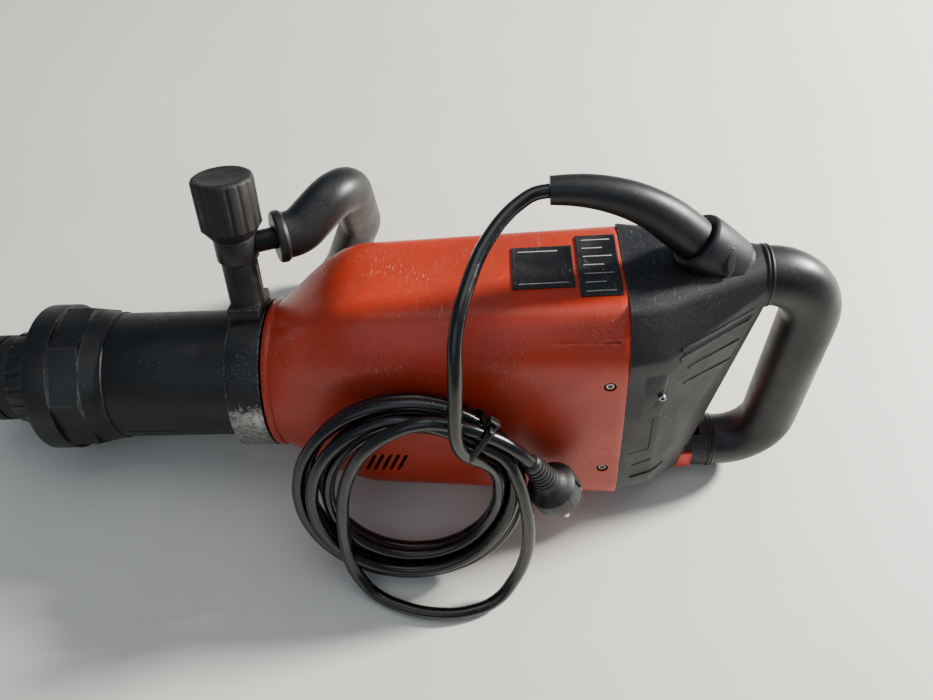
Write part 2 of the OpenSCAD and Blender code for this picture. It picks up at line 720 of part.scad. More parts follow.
plug_start = tail_points[len(tail_points) - 1];
plug_angle = 151;
plug_r = 18.5;
module at_plug() {
    translate(plug_start) rotate([0, plug_angle, 0]) children();
}
module plug_body() color("#151618") at_plug() difference() {
    union() {
        cylinder(h = 26, r1 = 7, r2 = 9.5, $fn = medium);
        translate([0, 0, 26 - eps]) cylinder(h = 12, r1 = 9.5, r2 = plug_r, $fn = medium);
        translate([0, 0, 38 - 2 * eps]) cylinder(h = 18, r = plug_r, $fn = medium);
    }
    for (s = [-1, 1]) {
        translate([0, s * 9.5, 50]) cylinder(h = 8, r = 2.4, $fn = medium);
        translate([s * (plug_r + 2), -3, 44]) cube([8, 6, 30], center = true);
    }
}
module plug_pins() color("#C9CBCD") at_plug()
    for (s = [-1, 1]) translate([0, s * 9.5, 50]) {
        cylinder(h = 22, r = 2.4, $fn = medium);
        translate([0, 0, 22]) sphere(r = 2.4, $fn = medium);
    }

// ---- side handle -------------------------------------------------------------------------------
band_x = -band_w / 2 - 1;
band_r = neck_r + band_t;
lug_angle = 108;
stud_r = 5;
eye_h = 17;
module at_post() {
    translate([band_x, 0, 0]) rotate([-post_angle, 0, 0]) children();
}
module at_lug() {
    translate([band_x, 0, 0]) rotate([-lug_angle, 0, 0]) children();
}
lug_top = band_r + 16;

module clamp_band() color("#55585B") lay_down() difference() {
    union() {
        bar_x(band_x - band_w / 2, band_x + band_w / 2, band_r);
        at_lug() cylinder(h = lug_top, r = 12, $fn = medium);
    }
    bar_x(band_x - band_w, band_x + band_w, neck_r + run_gap);
    at_lug() translate([0, 0, lug_top - 12]) cylinder(h = 20, r = bow_bar_r + 0.2, $fn = medium);
    at_lug() translate([-20, 0, lug_top - 6]) rotate([0, 90, 0]) cylinder(h = 20, r = 3, $fn = medium);
}

module clamp_post() color("#1E1F21") lay_down() difference() {
    union() {
        at_post() cylinder(h = post_top, r = post_r, $fn = medium);
        at_post() translate([-band_w / 2 + 1, -post_r - 4, band_r - 8]) cube([band_w - 2, 2 * post_r + 8, 16]);
    }
    bar_x(band_x - band_w, band_x + band_w, band_r);
    at_post() cylinder(h = 200, r = stud_r, $fn = medium);
    at_post() translate([-post_r - 2, -0.6, band_r + 10]) cube([2 * post_r + 4, 1.2, post_top]);
}

knob_z = post_top + eye_h + free_gap;
module clamp_stud() color("#9B9DA0") lay_down() at_post()
    translate([0, 0, band_r + 0.5]) cylinder(h = knob_z + 30 - band_r, r = stud_r, $fn = medium);

module clamp_knob() color("#232426") lay_down() at_post() difference() {
    union() {
        translate([0, 0, knob_z]) cylinder(h = 8 + eps, r1 = knob_r - 6, r2 = knob_r, $fn = fine);
        translate([0, 0, knob_z + 8]) cylinder(h = knob_h - 8, r = knob_r, $fn = fine);
    }
    translate([0, 0, knob_z - 1]) cylinder(h = 35, r = stud_r + run_gap, $fn = medium);
    for (a = [0:24:336]) rotate([0, 0, a]) translate([knob_r + 1.6, 0, knob_z + 8])
        cylinder(h = knob_h, r = 2.6, $fn = 24);
}

bow_start = [band_x, 0, 0] + (post_top + eye_h / 2) * [0, sin(post_angle), cos(post_angle)];
bow_end = [band_x, 0, 0] + (lug_top - 11) * [0, sin(lug_angle), cos(lug_angle)];
bow_lead_out = bow_end + 40 * [0, sin(lug_angle), cos(lug_angle)];
bow_path = rounded_path([
    bow_start,
    [28, 42, 102],
    [62, 74, 124],
    [56, 130, 46],
    [20, 160, -40.8],
    bow_lead_out,
    bow_end
], 26, 8);
bow_last = len(bow_path) - 1;
bow_grip_last = 38;
bow_grip_path = [
    bow_path[0] + 0.75 * (bow_path[1] - bow_path[0]),
    for (i = [1:bow_grip_last]) bow_path[i]
];

module bow_bar() color("#2C2E30") lay_down() {
    difference() {
        union() {
            swept(bow_path, [for (p = bow_path) bow_bar_r], 16, [0, 0, 1]);
            at_post() translate([0, 0, post_top]) cylinder(h = eye_h, r = post_r + 2, $fn = medium);
        }
        at_post() cylinder(h = 200, r = stud_r, $fn = medium);
    }
}

module bow_grip() color("#232527") lay_down()
    swept_sleeve(bow_grip_path, bow_grip_r, bow_bar_r + 0.3, 20, [0, 0, 1]);

module bow_bolt() color("#8C8E90") lay_down() at_lug()
    translate([-17, 0, lug_top - 6]) rotate([0, 90, 0]) {
        cylinder(h = 17 - bow_bar_r, r = 3, $fn = medium);
        translate([0, 0, -4]) cylinder(h = 4 + eps, r = 5, $fn = medium);
    }

red_housing();
rear_housing();
service_hatch();
hatch_screw();
handle_grip();
switch_lever();
switch_pin();
switch_module();
neck_cover();
front_cap();
front_cap_screws();
chuck_sleeve();
sleeve_spring();
dust_cap();
tool_holder();
anvil();
anvil_seal();
barrel();
cylinder_liner();
ram();
ram_ring();
piston();
piston_ring();
piston_pin();
conrod();
crank_gear();
crank_bearing();
gear_case();
gear_case_lid();
stator();
windings();
rotor_shaft();
armature();
commutator();
cooling_fan();
motor_bearings();
brush_holders();
carbon_brushes();
electronics_box();
terminal_block();
cord_clamp();
cord_boot();
lead_tube();
lead_coil();
lead_loop();
lead_tail();
cable_tie();
plug_body();
plug_pins();
label_plate();
rating_plate();
housing_screws();
clamp_band();
clamp_post();
clamp_stud();
clamp_knob();
bow_bar();
bow_grip();
bow_bolt();
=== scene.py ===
import logging
import math
from dataclasses import dataclass
from enum import Enum
from typing import Callable, Iterable, Sequence

import bpy
from mathutils import Matrix, Vector


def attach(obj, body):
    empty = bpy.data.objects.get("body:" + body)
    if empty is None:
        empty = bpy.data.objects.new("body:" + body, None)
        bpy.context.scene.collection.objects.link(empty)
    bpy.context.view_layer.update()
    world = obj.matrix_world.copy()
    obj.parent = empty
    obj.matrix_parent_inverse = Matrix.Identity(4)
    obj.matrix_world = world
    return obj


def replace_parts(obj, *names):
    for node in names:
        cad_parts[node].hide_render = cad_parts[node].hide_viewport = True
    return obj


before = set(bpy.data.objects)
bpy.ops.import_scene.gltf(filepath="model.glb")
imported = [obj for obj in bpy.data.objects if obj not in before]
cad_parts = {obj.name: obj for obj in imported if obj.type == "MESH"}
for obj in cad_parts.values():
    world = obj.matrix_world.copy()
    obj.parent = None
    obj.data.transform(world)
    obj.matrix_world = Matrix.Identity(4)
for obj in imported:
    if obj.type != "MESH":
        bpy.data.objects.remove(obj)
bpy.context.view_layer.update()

logging.basicConfig(level=logging.INFO, format="%(message)s")
LOG = logging.getLogger("demolition_hammer")

MM = 0.001
Point = tuple[float, float, float]


# ---- placing and shaping ------------------------------------------------------------------------
@dataclass(frozen=True)
class Lie:
    """How the tool lies on the table: rolled onto its side handle and pitched nose down."""

    roll_deg: float = 10.0
    pitch_deg: float = 6.870615
    shift_mm: Point = (-90.7, -43.7, 77.14873)

    def matrix(self) -> Matrix:
        """Turns the tool's own metres into the row's frame."""
        shift = Matrix.Translation(Vector(self.shift_mm) * MM)
        pitch = Matrix.Rotation(math.radians(-self.pitch_deg), 4, "Y")
        roll = Matrix.Rotation(math.radians(-self.roll_deg), 4, "X")
        return shift @ pitch @ roll


LIE = Lie().matrix()


def bake() -> None:
    """Applies the active object's place, turn and scale to its mesh."""
    bpy.ops.object.transform_apply(location=True, rotation=True, scale=True)


def edit_all() -> None:
    """Enters edit mode with everything selected."""
    bpy.ops.object.mode_set(mode="EDIT")
    bpy.ops.mesh.select_all(action="SELECT")


def leave_edit() -> None:
    """Goes back to object mode."""
    bpy.ops.object.mode_set(mode="OBJECT")


def pull(way: Point) -> None:
    """Extrudes the selection and moves it by metres."""
    bpy.ops.mesh.extrude_region_move(TRANSFORM_OT_translate={"value": way})


def pick(piece: bpy.types.Object) -> None:
    """Makes one object the only selected and active one."""
    if bpy.context.mode != "OBJECT":
        leave_edit()
    bpy.ops.object.select_all(action="DESELECT")
    piece.select_set(True)
    bpy.context.view_layer.objects.active = piece


def named(name: str) -> bpy.types.Object:
    """Gives the new active object its name."""
    piece = bpy.context.active_object
    piece.name = name
    piece.data.name = name
    return piece


def settle(piece: bpy.types.Object, turn: Matrix = LIE) -> bpy.types.Object:
    """Puts a piece in its place and leaves its object at the origin.

    Args:
        piece: a mesh modelled in the tool's own metres.
        turn: the matrix that takes it to the row's frame.

    Returns:
        The same piece.
    """
    pick(piece)
    piece.matrix_world = turn @ piece.matrix_world
    bake()
    return piece


def mend(piece: bpy.types.Object) -> None:
    """Merges doubled points and turns every face outwards.

    Args:
        piece: the mesh to repair.
    """
    pick(piece)
    edit_all()
    bpy.ops.mesh.remove_doubles(threshold=0.00001)
    bpy.ops.mesh.normals_make_consistent(inside=False)
    leave_edit()


def soften(piece: bpy.types.Object, width_mm: float, segments: int = 2, angle: float = 30) -> None:
    """Rounds the sharp edges and shades the rest smooth.

    Args:
        piece: the mesh to finish.
        width_mm: width of the rounding.
        segments: facets across the rounding.
        angle: edges sharper than this many degrees are rounded.
    """
    pick(piece)
    if width_mm > 0:
        bevel = piece.modifiers.new("rounding", "BEVEL")
        bevel.width = width_mm * MM
        bevel.segments = segments
        bevel.limit_method = "ANGLE"
        bevel.angle_limit = math.radians(angle)
        bevel.harden_normals = False
        bpy.ops.object.modifier_apply(modifier=bevel.name)
    bpy.ops.object.shade_smooth_by_angle(angle=math.radians(38))


def turned(name: str, rings: Sequence[tuple[float, float]], sides: int = 72, hollow: bool = False
           ) -> bpy.types.Object:
    """A turned piece along x, drawn out ring by ring.

    Args:
        name: the piece's name.
        rings: (x, radius) of each ring in millimetres.
        sides: facets round the piece.
        hollow: whether the rings close into a tube's section, last to first.

    Returns:
        The piece in the tool's own metres.
    """
    x0, r0 = rings[0]
    bpy.ops.mesh.primitive_circle_add(
        vertices=sides, radius=r0 * MM, fill_type="NOTHING" if hollow else "NGON",
        location=(x0 * MM, 0, 0), rotation=(0, math.pi / 2, 0))
    piece = named(name)
    bake()
    bpy.ops.object.mode_set(mode="EDIT")
    bpy.ops.mesh.select_mode(type="VERT")
    bpy.ops.mesh.select_all(action="SELECT")
    last_x, last_r = x0, r0
    for x, r in list(rings[1:]) + ([rings[0]] if hollow else []):
        pull(((x - last_x) * MM, 0, 0))
        grow = r / last_r
        bpy.ops.transform.resize(value=(1, grow, grow), center_override=(x * MM, 0, 0))
        last_x, last_r = x, r
    leave_edit()
    mend(piece)
    return piece


def block(name: str, low: Point, high: Point) -> bpy.types.Object:
    """A block between two corners in the tool's own millimetres, ready to be shaped.

    Args:
        name: the piece's name.
        low: its lowest corner.
        high: its highest corner.

    Returns:
        The block as a mesh in metres.
    """
    size = [(b - a) * MM for a, b in zip(low, high)]
    centre = [(a + b) / 2 * MM for a, b in zip(low, high)]
    bpy.ops.mesh.primitive_cube_add(size=1, location=centre, scale=size)
    piece = named(name)
    bake()
    return piece


def choose_faces(piece: bpy.types.Object, test: Callable[[Vector, Vector], bool]) -> None:
    """Enters edit mode with only those faces selected whose centre and normal pass the test.

    Args:
        piece: the mesh to edit.
        test: takes a face's centre and normal and says whether it is chosen.
    """
    pick(piece)
    bpy.ops.object.mode_set(mode="EDIT")
    bpy.ops.mesh.select_mode(type="FACE")
    bpy.ops.mesh.select_all(action="DESELECT")
    leave_edit()
    for face in piece.data.polygons:
        face.select = test(face.center, face.normal)
    bpy.ops.object.mode_set(mode="EDIT")


def joined(name: str, pieces: Iterable[bpy.types.Object]) -> bpy.types.Object:
    """Joins separate solids into one named piece.

    Args:
        name: the joined piece's name.
        pieces: the solids to join.

    Returns:
        The one piece that holds them all.
    """
    parts = list(pieces)
    pick(parts[0])
    for part in parts[1:]:
        part.select_set(True)
    bpy.ops.object.join()
    return named(name)


def from_cad(name: str, node: str, width_mm: float, segments: int = 2, angle: float = 30,
             flat_deg: float = 0.6) -> bpy.types.Object:
    """A finished copy of a CAD node: merged, its flats cleaned and its edges rounded.

    Args:
        name: the new piece's name.
        node: the CAD node that it stands for.
        width_mm: width of the rounding on its edges.
        segments: facets across the rounding.
        angle: edges sharper than this are rounded.
        flat_deg: faces that meet flatter than this are cleaned into one.

    Returns:
        The new piece, which replaces the node.
    """
    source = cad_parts[node]
    piece = bpy.data.objects.new(name, source.data.copy())
    bpy.context.scene.collection.objects.link(piece)
    pick(piece)
    piece.data.materials.clear()
    if piece.data.has_custom_normals:
        bpy.ops.mesh.customdata_custom_splitnormals_clear()
    edit_all()
    bpy.ops.mesh.remove_doubles(threshold=0.000005)
    bpy.ops.mesh.dissolve_limited(angle_limit=math.radians(flat_deg))
    leave_edit()
    soften(piece, width_mm, segments, angle)
    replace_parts(piece, node)
    return piece


def carve(piece: bpy.types.Object, cutter: bpy.types.Object) -> None:
    """Cuts one solid out of another and removes the cutter.

    Args:
        piece: the solid that is cut.
        cutter: the solid that is taken away.
    """
    pick(piece)
    cut = piece.modifiers.new("cut", "BOOLEAN")
    cut.operation, cut.solver, cut.object = "DIFFERENCE", "EXACT", cutter
    cut.use_self = True
    bpy.ops.object.modifier_apply(modifier=cut.name)
    bpy.data.objects.remove(cutter, do_unlink=True)


def skin_strip(name: str, host: bpy.types.Object, low: tuple[float, float], high: tuple[float, float],
               height_mm: float, tilt_deg: float = 0.0, rounding: float = 0.35) -> bpy.types.Object:
    """A raised strip that follows the near side of a finished host.

    Args:
        name: the strip's name.
        host: the piece whose skin it follows, already in its place.
        low: the strip's lowest x and z in the tool's own millimetres.
        high: the strip's highest x and z.
        height_mm: how far it stands out of the skin.
        tilt_deg: turn about its own middle, seen from the near side.
        rounding: width of its rounded edges.

    Returns:
        The strip, in its place.
    """
    bpy.ops.mesh.primitive_plane_add(size=1, rotation=(math.radians(90), 0, 0))
    strip = named(name)
    strip.scale = ((high[0] - low[0]) * MM, (high[1] - low[1]) * MM, 1)
    bpy.ops.object.transform_apply(location=False, rotation=False, scale=True)
    strip.rotation_euler = (math.radians(90), 0, 0)
    bake()
    strip.rotation_euler = (0, math.radians(tilt_deg), 0)
    strip.location = Vector(((low[0] + high[0]) / 2, -90, (low[1] + high[1]) / 2)) * MM
    bake()
    edit_all()
    bpy.ops.mesh.subdivide(number_cuts=28)
    leave_edit()
    settle(strip)
    wrap = strip.modifiers.new("wrap", "SHRINKWRAP")
    wrap.target, wrap.wrap_method = host, "PROJECT"
    wrap.use_project_y, wrap.use_positive_direction = True, True
    wrap.wrap_mode, wrap.offset = "ON_SURFACE", 0.0
    bpy.ops.object.modifier_apply(modifier=wrap.name)
    thick = strip.modifiers.new("thickness", "SOLIDIFY")
    thick.thickness, thick.offset = 2 * height_mm * MM, 0.0
    bpy.ops.object.modifier_apply(modifier=thick.name)
    soften(strip, rounding, 2, 50)
    return strip


# ---- finishes -----------------------------------------------------------------------------------
def linear(colour: str) -> tuple[float, float, float, float]:
    """An sRGB hex colour as linear red, green, blue and alpha.

    Args:
        colour: a hash sign and six hex digits.

    Returns:
        The four linear values.
    """
    parts = [int(colour[i:i + 2], 16) / 255 for i in (1, 3, 5)]
    made = [p / 12.92 if p <= 0.04045 else ((p + 0.055) / 1.055) ** 2.4 for p in parts]
    return (made[0], made[1], made[2], 1.0)


def add(tree: bpy.types.NodeTree, kind: str, settings: dict | None = None,
        links: dict | None = None) -> bpy.types.Node:
    """Adds a shader node with its settings and its incoming links.

    Args:
        tree: the material's node tree.
        kind: the node's type without its prefix.
        settings: node properties by name, or socket values by name or number.
        links: sockets by name or number, each with the output that feeds it.

    Returns:
        The new node.
    """
    made = tree.nodes.new("ShaderNode" + kind)
    for key, value in (settings or {}).items():
        if isinstance(key, str) and hasattr(made, key):
            setattr(made, key, value)
        else:
            made.inputs[key].default_value = value
    for key, source in (links or {}).items():
        tree.links.new(source, made.inputs[key])
    return made


def per_m(size_mm: float) -> float:
    """The noise scale whose features are about this many millimetres across."""
    return 1000.0 / size_mm


class Surface:
    """A material under construction: its tree, its coordinates and the masks that finishes share."""

    def __init__(self, name: str) -> None:
        """Starts an empty node tree under the finish's name."""
        self.material = bpy.data.materials.new(name)
        self.material.use_nodes = True
        self.tree = self.material.node_tree
        self.tree.nodes.clear()
        self.place = add(self.tree, "TexCoord").outputs["Object"]

    def noise(self, size_mm: float, detail: float = 4, rough: float = 0.6,
              stretch: Point | None = None, turn: Point = (0, 0, 0)) -> bpy.types.NodeSocket:
        """A noise in Object coordinates.

        Args:
            size_mm: size of its features.
            detail: octaves of finer noise.
            rough: strength of the finer octaves.
            stretch: scale along each axis, for streaks.
            turn: angles in degrees that turn the streaks.

        Returns:
            The noise's value output.
        """
        place = self.place
        if stretch:
            place = add(self.tree, "Mapping", {
                "Rotation": tuple(math.radians(a) for a in turn), "Scale": stretch,
            }, {"Vector": place}).outputs[0]
        return add(self.tree, "TexNoise", {
            "Scale": per_m(size_mm), "Detail": detail, "Roughness": rough,
        }, {"Vector": place}).outputs[0]

    def ramp(self, value: bpy.types.NodeSocket, low: float, high: float, top: float = 1.0
             ) -> bpy.types.NodeSocket:
        """Maps low to 0 and high to top, clamped."""
        return add(self.tree, "MapRange", {1: low, 2: high, 3: 0.0, 4: top}, {0: value}).outputs[0]

    def maths(self, how: str, a: bpy.types.NodeSocket, b: bpy.types.NodeSocket | float
              ) -> bpy.types.NodeSocket:
        """Combines two values with a Math operation, clamped to 0..1.

        Args:
            how: the operation.
            a: the first value.
            b: the second value, an output or a number.

        Returns:
            The result.
        """
        settings: dict = {"operation": how, "use_clamp": True}
        links: dict = {0: a}
        if isinstance(b, (int, float)):
            settings[1] = float(b)
        else:
            links[1] = b
        return add(self.tree, "Math", settings, links).outputs[0]

    def mix(self, share: bpy.types.NodeSocket, a: bpy.types.NodeSocket | str,
            b: bpy.types.NodeSocket | str) -> bpy.types.NodeSocket:
        """Mixes two colours, each a hex value or an output.

        Args:
            share: 0 for the first colour, 1 for the second.
            a: the first colour.
            b: the second colour.

        Returns:
            The mixed colour.
        """
        settings: dict = {"data_type": "RGBA"}
        links: dict = {0: share}
        for number, colour in ((6, a), (7, b)):
            if isinstance(colour, str):
                settings[number] = linear(colour)
            else:
                links[number] = colour
        return add(self.tree, "Mix", settings, links).outputs[2]

    def level(self, share: bpy.types.NodeSocket, a: float, b: float) -> bpy.types.NodeSocket:
        """Runs a value from a to b as the share goes from 0 to 1."""
        return add(self.tree, "MapRange", {1: 0.0, 2: 1.0, 3: a, 4: b}, {0: share}).outputs[0]

    def rubbed_edges(self, radius_mm: float) -> bpy.types.NodeSocket:
        """1 along edges that hands and tables rub, 0 on the flats.

        Args:
            radius_mm: how far round an edge the rubbing reaches.

        Returns:
            The mask.
        """
        rounded = add(self.tree, "Bevel", {"samples": 4, "Radius": radius_mm * MM}).outputs[0]
        plain = add(self.tree, "NewGeometry").outputs["Normal"]
        dot = add(self.tree, "VectorMath", {"operation": "DOT_PRODUCT"},
                  {0: rounded, 1: plain}).outputs["Value"]
        return self.maths("MULTIPLY", self.ramp(dot, 0.99, 0.90),
                          self.ramp(self.noise(3, 6, 0.75), 0.42, 0.58))

    def scratches(self, share: float) -> bpy.types.NodeSocket:
        """Fine scratches in three directions, gathered in patches.

        Args:
            share: 0 for few scratches, 1 for many.

        Returns:
            The mask.
        """
        made = None
        for turn in ((20, 35, 10), (70, -25, 60), (-40, 80, -35)):
            lines = self.noise(1.1, 2, 0.5, (1.0, 0.035, 1.0), turn)
            mask = self.ramp(lines, 0.70 - 0.05 * share, 0.74)
            made = mask if made is None else self.maths("ADD", made, mask)
        patches = self.ramp(self.noise(38, 3, 0.6), 0.56 - 0.1 * share, 0.66)
        return self.maths("MULTIPLY", made, patches)

    def facing_up(self) -> bpy.types.NodeSocket:
        """1 where the surface faces up, where dust settles."""
        normal = add(self.tree, "NewGeometry").outputs["Normal"]
        up = add(self.tree, "SeparateXYZ", links={0: normal}).outputs[2]
        return self.ramp(up, -0.1, 0.9)

    def bump(self, height: bpy.types.NodeSocket, depth_mm: float,
             under: bpy.types.NodeSocket | None = None) -> bpy.types.NodeSocket:
        """Raises the surface by a height map, on top of another bump.

        Args:
            height: the height map.
            depth_mm: millimetres between its lowest and highest.
            under: the bump below it.

        Returns:
            The bumped normal.
        """
        links = {"Height": height}
        if under is not None:
            links["Normal"] = under
        return add(self.tree, "Bump", {"Strength": 1.0, "Distance": depth_mm * MM}, links).outputs[0]

    def close(self, settings: dict, links: dict) -> bpy.types.Material:
        """Ends the tree in one principled shader.

        Args:
            settings: the shader's constants.
            links: the outputs that feed the shader.

        Returns:
            The finished material.
        """
        shader = add(self.tree, "BsdfPrincipled", settings, links)
        add(self.tree, "OutputMaterial", links={"Surface": shader.outputs[0]})
        return self.material


@dataclass(frozen=True)
class Moulding:
    """Moulded plastic or rubber with mould grain, dust, scratches and rubbed edges."""

    name: str
    colour: str
    shade: str
    roughness: float = 0.5
    grain_mm: float = 0.9
    grain_depth_mm: float = 0.03
    dust: str = "#8B8780"
    dust_share: float = 0.25
    scratch: str = "#B9B2AA"
    scratch_share: float = 0.5
    edge: str = "#6A6C6E"
    edge_share: float = 0.5
    blotch_mm: float = 55
    ior: float = 1.5
    coat: float = 0.0

    def build(self) -> bpy.types.Material:
        """Makes the material."""
        s = Surface(self.name)
        tone = s.ramp(s.noise(self.blotch_mm, 5, 0.62), 0.36, 0.66)
        colour = s.mix(tone, self.colour, self.shade)
        speck = s.ramp(s.noise(2.2, 5, 0.7), 0.45, 0.75)
        settled = s.maths("MULTIPLY", s.facing_up(), s.ramp(s.noise(24, 8, 0.72), 0.42, 0.72))
        dust = s.maths("MULTIPLY", s.maths("MULTIPLY", settled, speck), self.dust_share)
        colour = s.mix(dust, colour, self.dust)
        marks = s.maths("MULTIPLY", s.scratches(self.scratch_share), self.scratch_share)
        colour = s.mix(marks, colour, self.scratch)
        rubbed = s.maths("MULTIPLY", s.rubbed_edges(1.4), self.edge_share)
        colour = s.mix(rubbed, colour, self.edge)
        rough = s.level(s.maths("ADD", tone, dust), self.roughness - 0.07, self.roughness + 0.12)
        normal = s.bump(s.noise(self.grain_mm, 3, 0.5), self.grain_depth_mm)
        normal = s.bump(s.scratches(self.scratch_share), -0.03, normal)
        return s.close({"IOR": self.ior, "Coat Weight": self.coat, "Coat Roughness": 0.25},
                       {"Base Color": colour, "Roughness": rough, "Normal": normal})


@dataclass(frozen=True)
class Metal:
    """Bare metal with machining marks, and a little tarnish and grime in random stains."""

    name: str
    colour: str
    tarnish: str
    roughness: float = 0.35
    mark_mm: float = 0.6
    mark_stretch: Point = (1.0, 1.0, 1.0)
    mark_depth_mm: float = 0.01
    grime: float = 0.35

    def build(self) -> bpy.types.Material:
        """Makes the material."""
        s = Surface(self.name)
        stain = s.ramp(s.noise(9, 6, 0.7), 0.45, 0.7)
        colour = s.mix(s.maths("MULTIPLY", stain, self.grime), self.colour, self.tarnish)
        rough = s.level(stain, self.roughness - 0.06, self.roughness + 0.15)
        normal = s.bump(s.noise(self.mark_mm, 3, 0.55, self.mark_stretch), self.mark_depth_mm)
        return s.close({"Metallic": 1.0},
                       {"Base Color": colour, "Roughness": rough, "Normal": normal})


@dataclass(frozen=True)
class WornPaint:
    """Paint over metal, worn through along its edges, in scratches and on one side."""

    name: str
    paint: str
    paint_shade: str
    metal: str
    roughness: float = 0.5
    cast_mm: float = 1.6
    cast_depth_mm: float = 0.05
    edge_share: float = 0.8
    scratch_share: float = 0.5
    bare_from: Point | None = None
    bare_towards: Point = (0.0, 0.0, -1.0)

    def build(self) -> bpy.types.Material:
        """Makes the material."""
        s = Surface(self.name)
        worn = s.maths("MULTIPLY", s.rubbed_edges(1.8), self.edge_share)
        marks = s.maths("MULTIPLY", s.scratches(self.scratch_share), self.scratch_share)
        worn = s.maths("MAXIMUM", worn, marks)
        if self.bare_from is not None:
            away = add(s.tree, "VectorMath", {"operation": "SUBTRACT", 1: self.bare_from},
                       {0: s.place}).outputs[0]
            along = add(s.tree, "VectorMath", {"operation": "DOT_PRODUCT", 1: self.bare_towards},
                        {0: away}).outputs["Value"]
            reach = s.ramp(along, -0.014, 0.016)
            ragged = s.maths("ADD", reach, s.ramp(s.noise(5, 8, 0.8), 0.35, 0.75, 0.55))
            worn = s.maths("MAXIMUM", worn, s.ramp(ragged, 0.62, 0.72))
        tone = s.ramp(s.noise(30, 6, 0.7), 0.35, 0.7)
        colour = s.mix(worn, s.mix(tone, self.paint, self.paint_shade),
                       s.mix(s.ramp(s.noise(4, 6, 0.75), 0.35, 0.7), self.metal, "#4A4845"))
        rough = s.level(tone, self.roughness - 0.08, self.roughness + 0.12)
        normal = s.bump(s.noise(self.cast_mm, 4, 0.6), self.cast_depth_mm)
        normal = s.bump(worn, -0.04, normal)
        return s.close({}, {"Base Color": colour, "Roughness": rough, "Metallic": worn,
                            "Normal": normal})


@dataclass(frozen=True)
class Windings:
    """Enamelled copper wire or stamped copper bars, side by side, with a darker colour between them that is
    painted shade between the wires.
    """

    name: str
    colour: str
    gap: str
    pitch_mm: float = 1.4

    def build(self) -> bpy.types.Material:
        """Makes the material."""
        s = Surface(self.name)
        wave = add(s.tree, "TexWave", {
            "wave_type": "BANDS", "bands_direction": "DIAGONAL", "Scale": per_m(self.pitch_mm) / 6.3,
            "Distortion": 1.5, "Detail": 2.0,
        }, {"Vector": s.place}).outputs[1]
        # Between wires the gap colour is painted shade; between the commutator's bars it is the insulation's
        # own dark colour.
        colour = s.mix(s.ramp(wave, 0.2, 0.6), self.gap, self.colour)
        return s.close({"Metallic": 0.8, "Roughness": 0.35},
                       {"Base Color": colour, "Normal": s.bump(wave, 0.25)})


def band_wear() -> WornPaint:
    """The clamp band's finish, bare on the side that faces the table."""
    centre = LIE @ Vector((-13.5 * MM, -30 * MM, -4 * MM))
    down = (LIE.to_3x3() @ Vector((0, -0.62, -0.78))).normalized()
    # Painted steel strap: the black has rubbed off its lower half down to grey metal.
    return WornPaint("black_paint_worn_off_steel_strap", "#121416", "#1C1E20", "#B9B8B4", 0.46,
                     2.2, 0.06, 1.0, 0.8, tuple(centre), tuple(down))


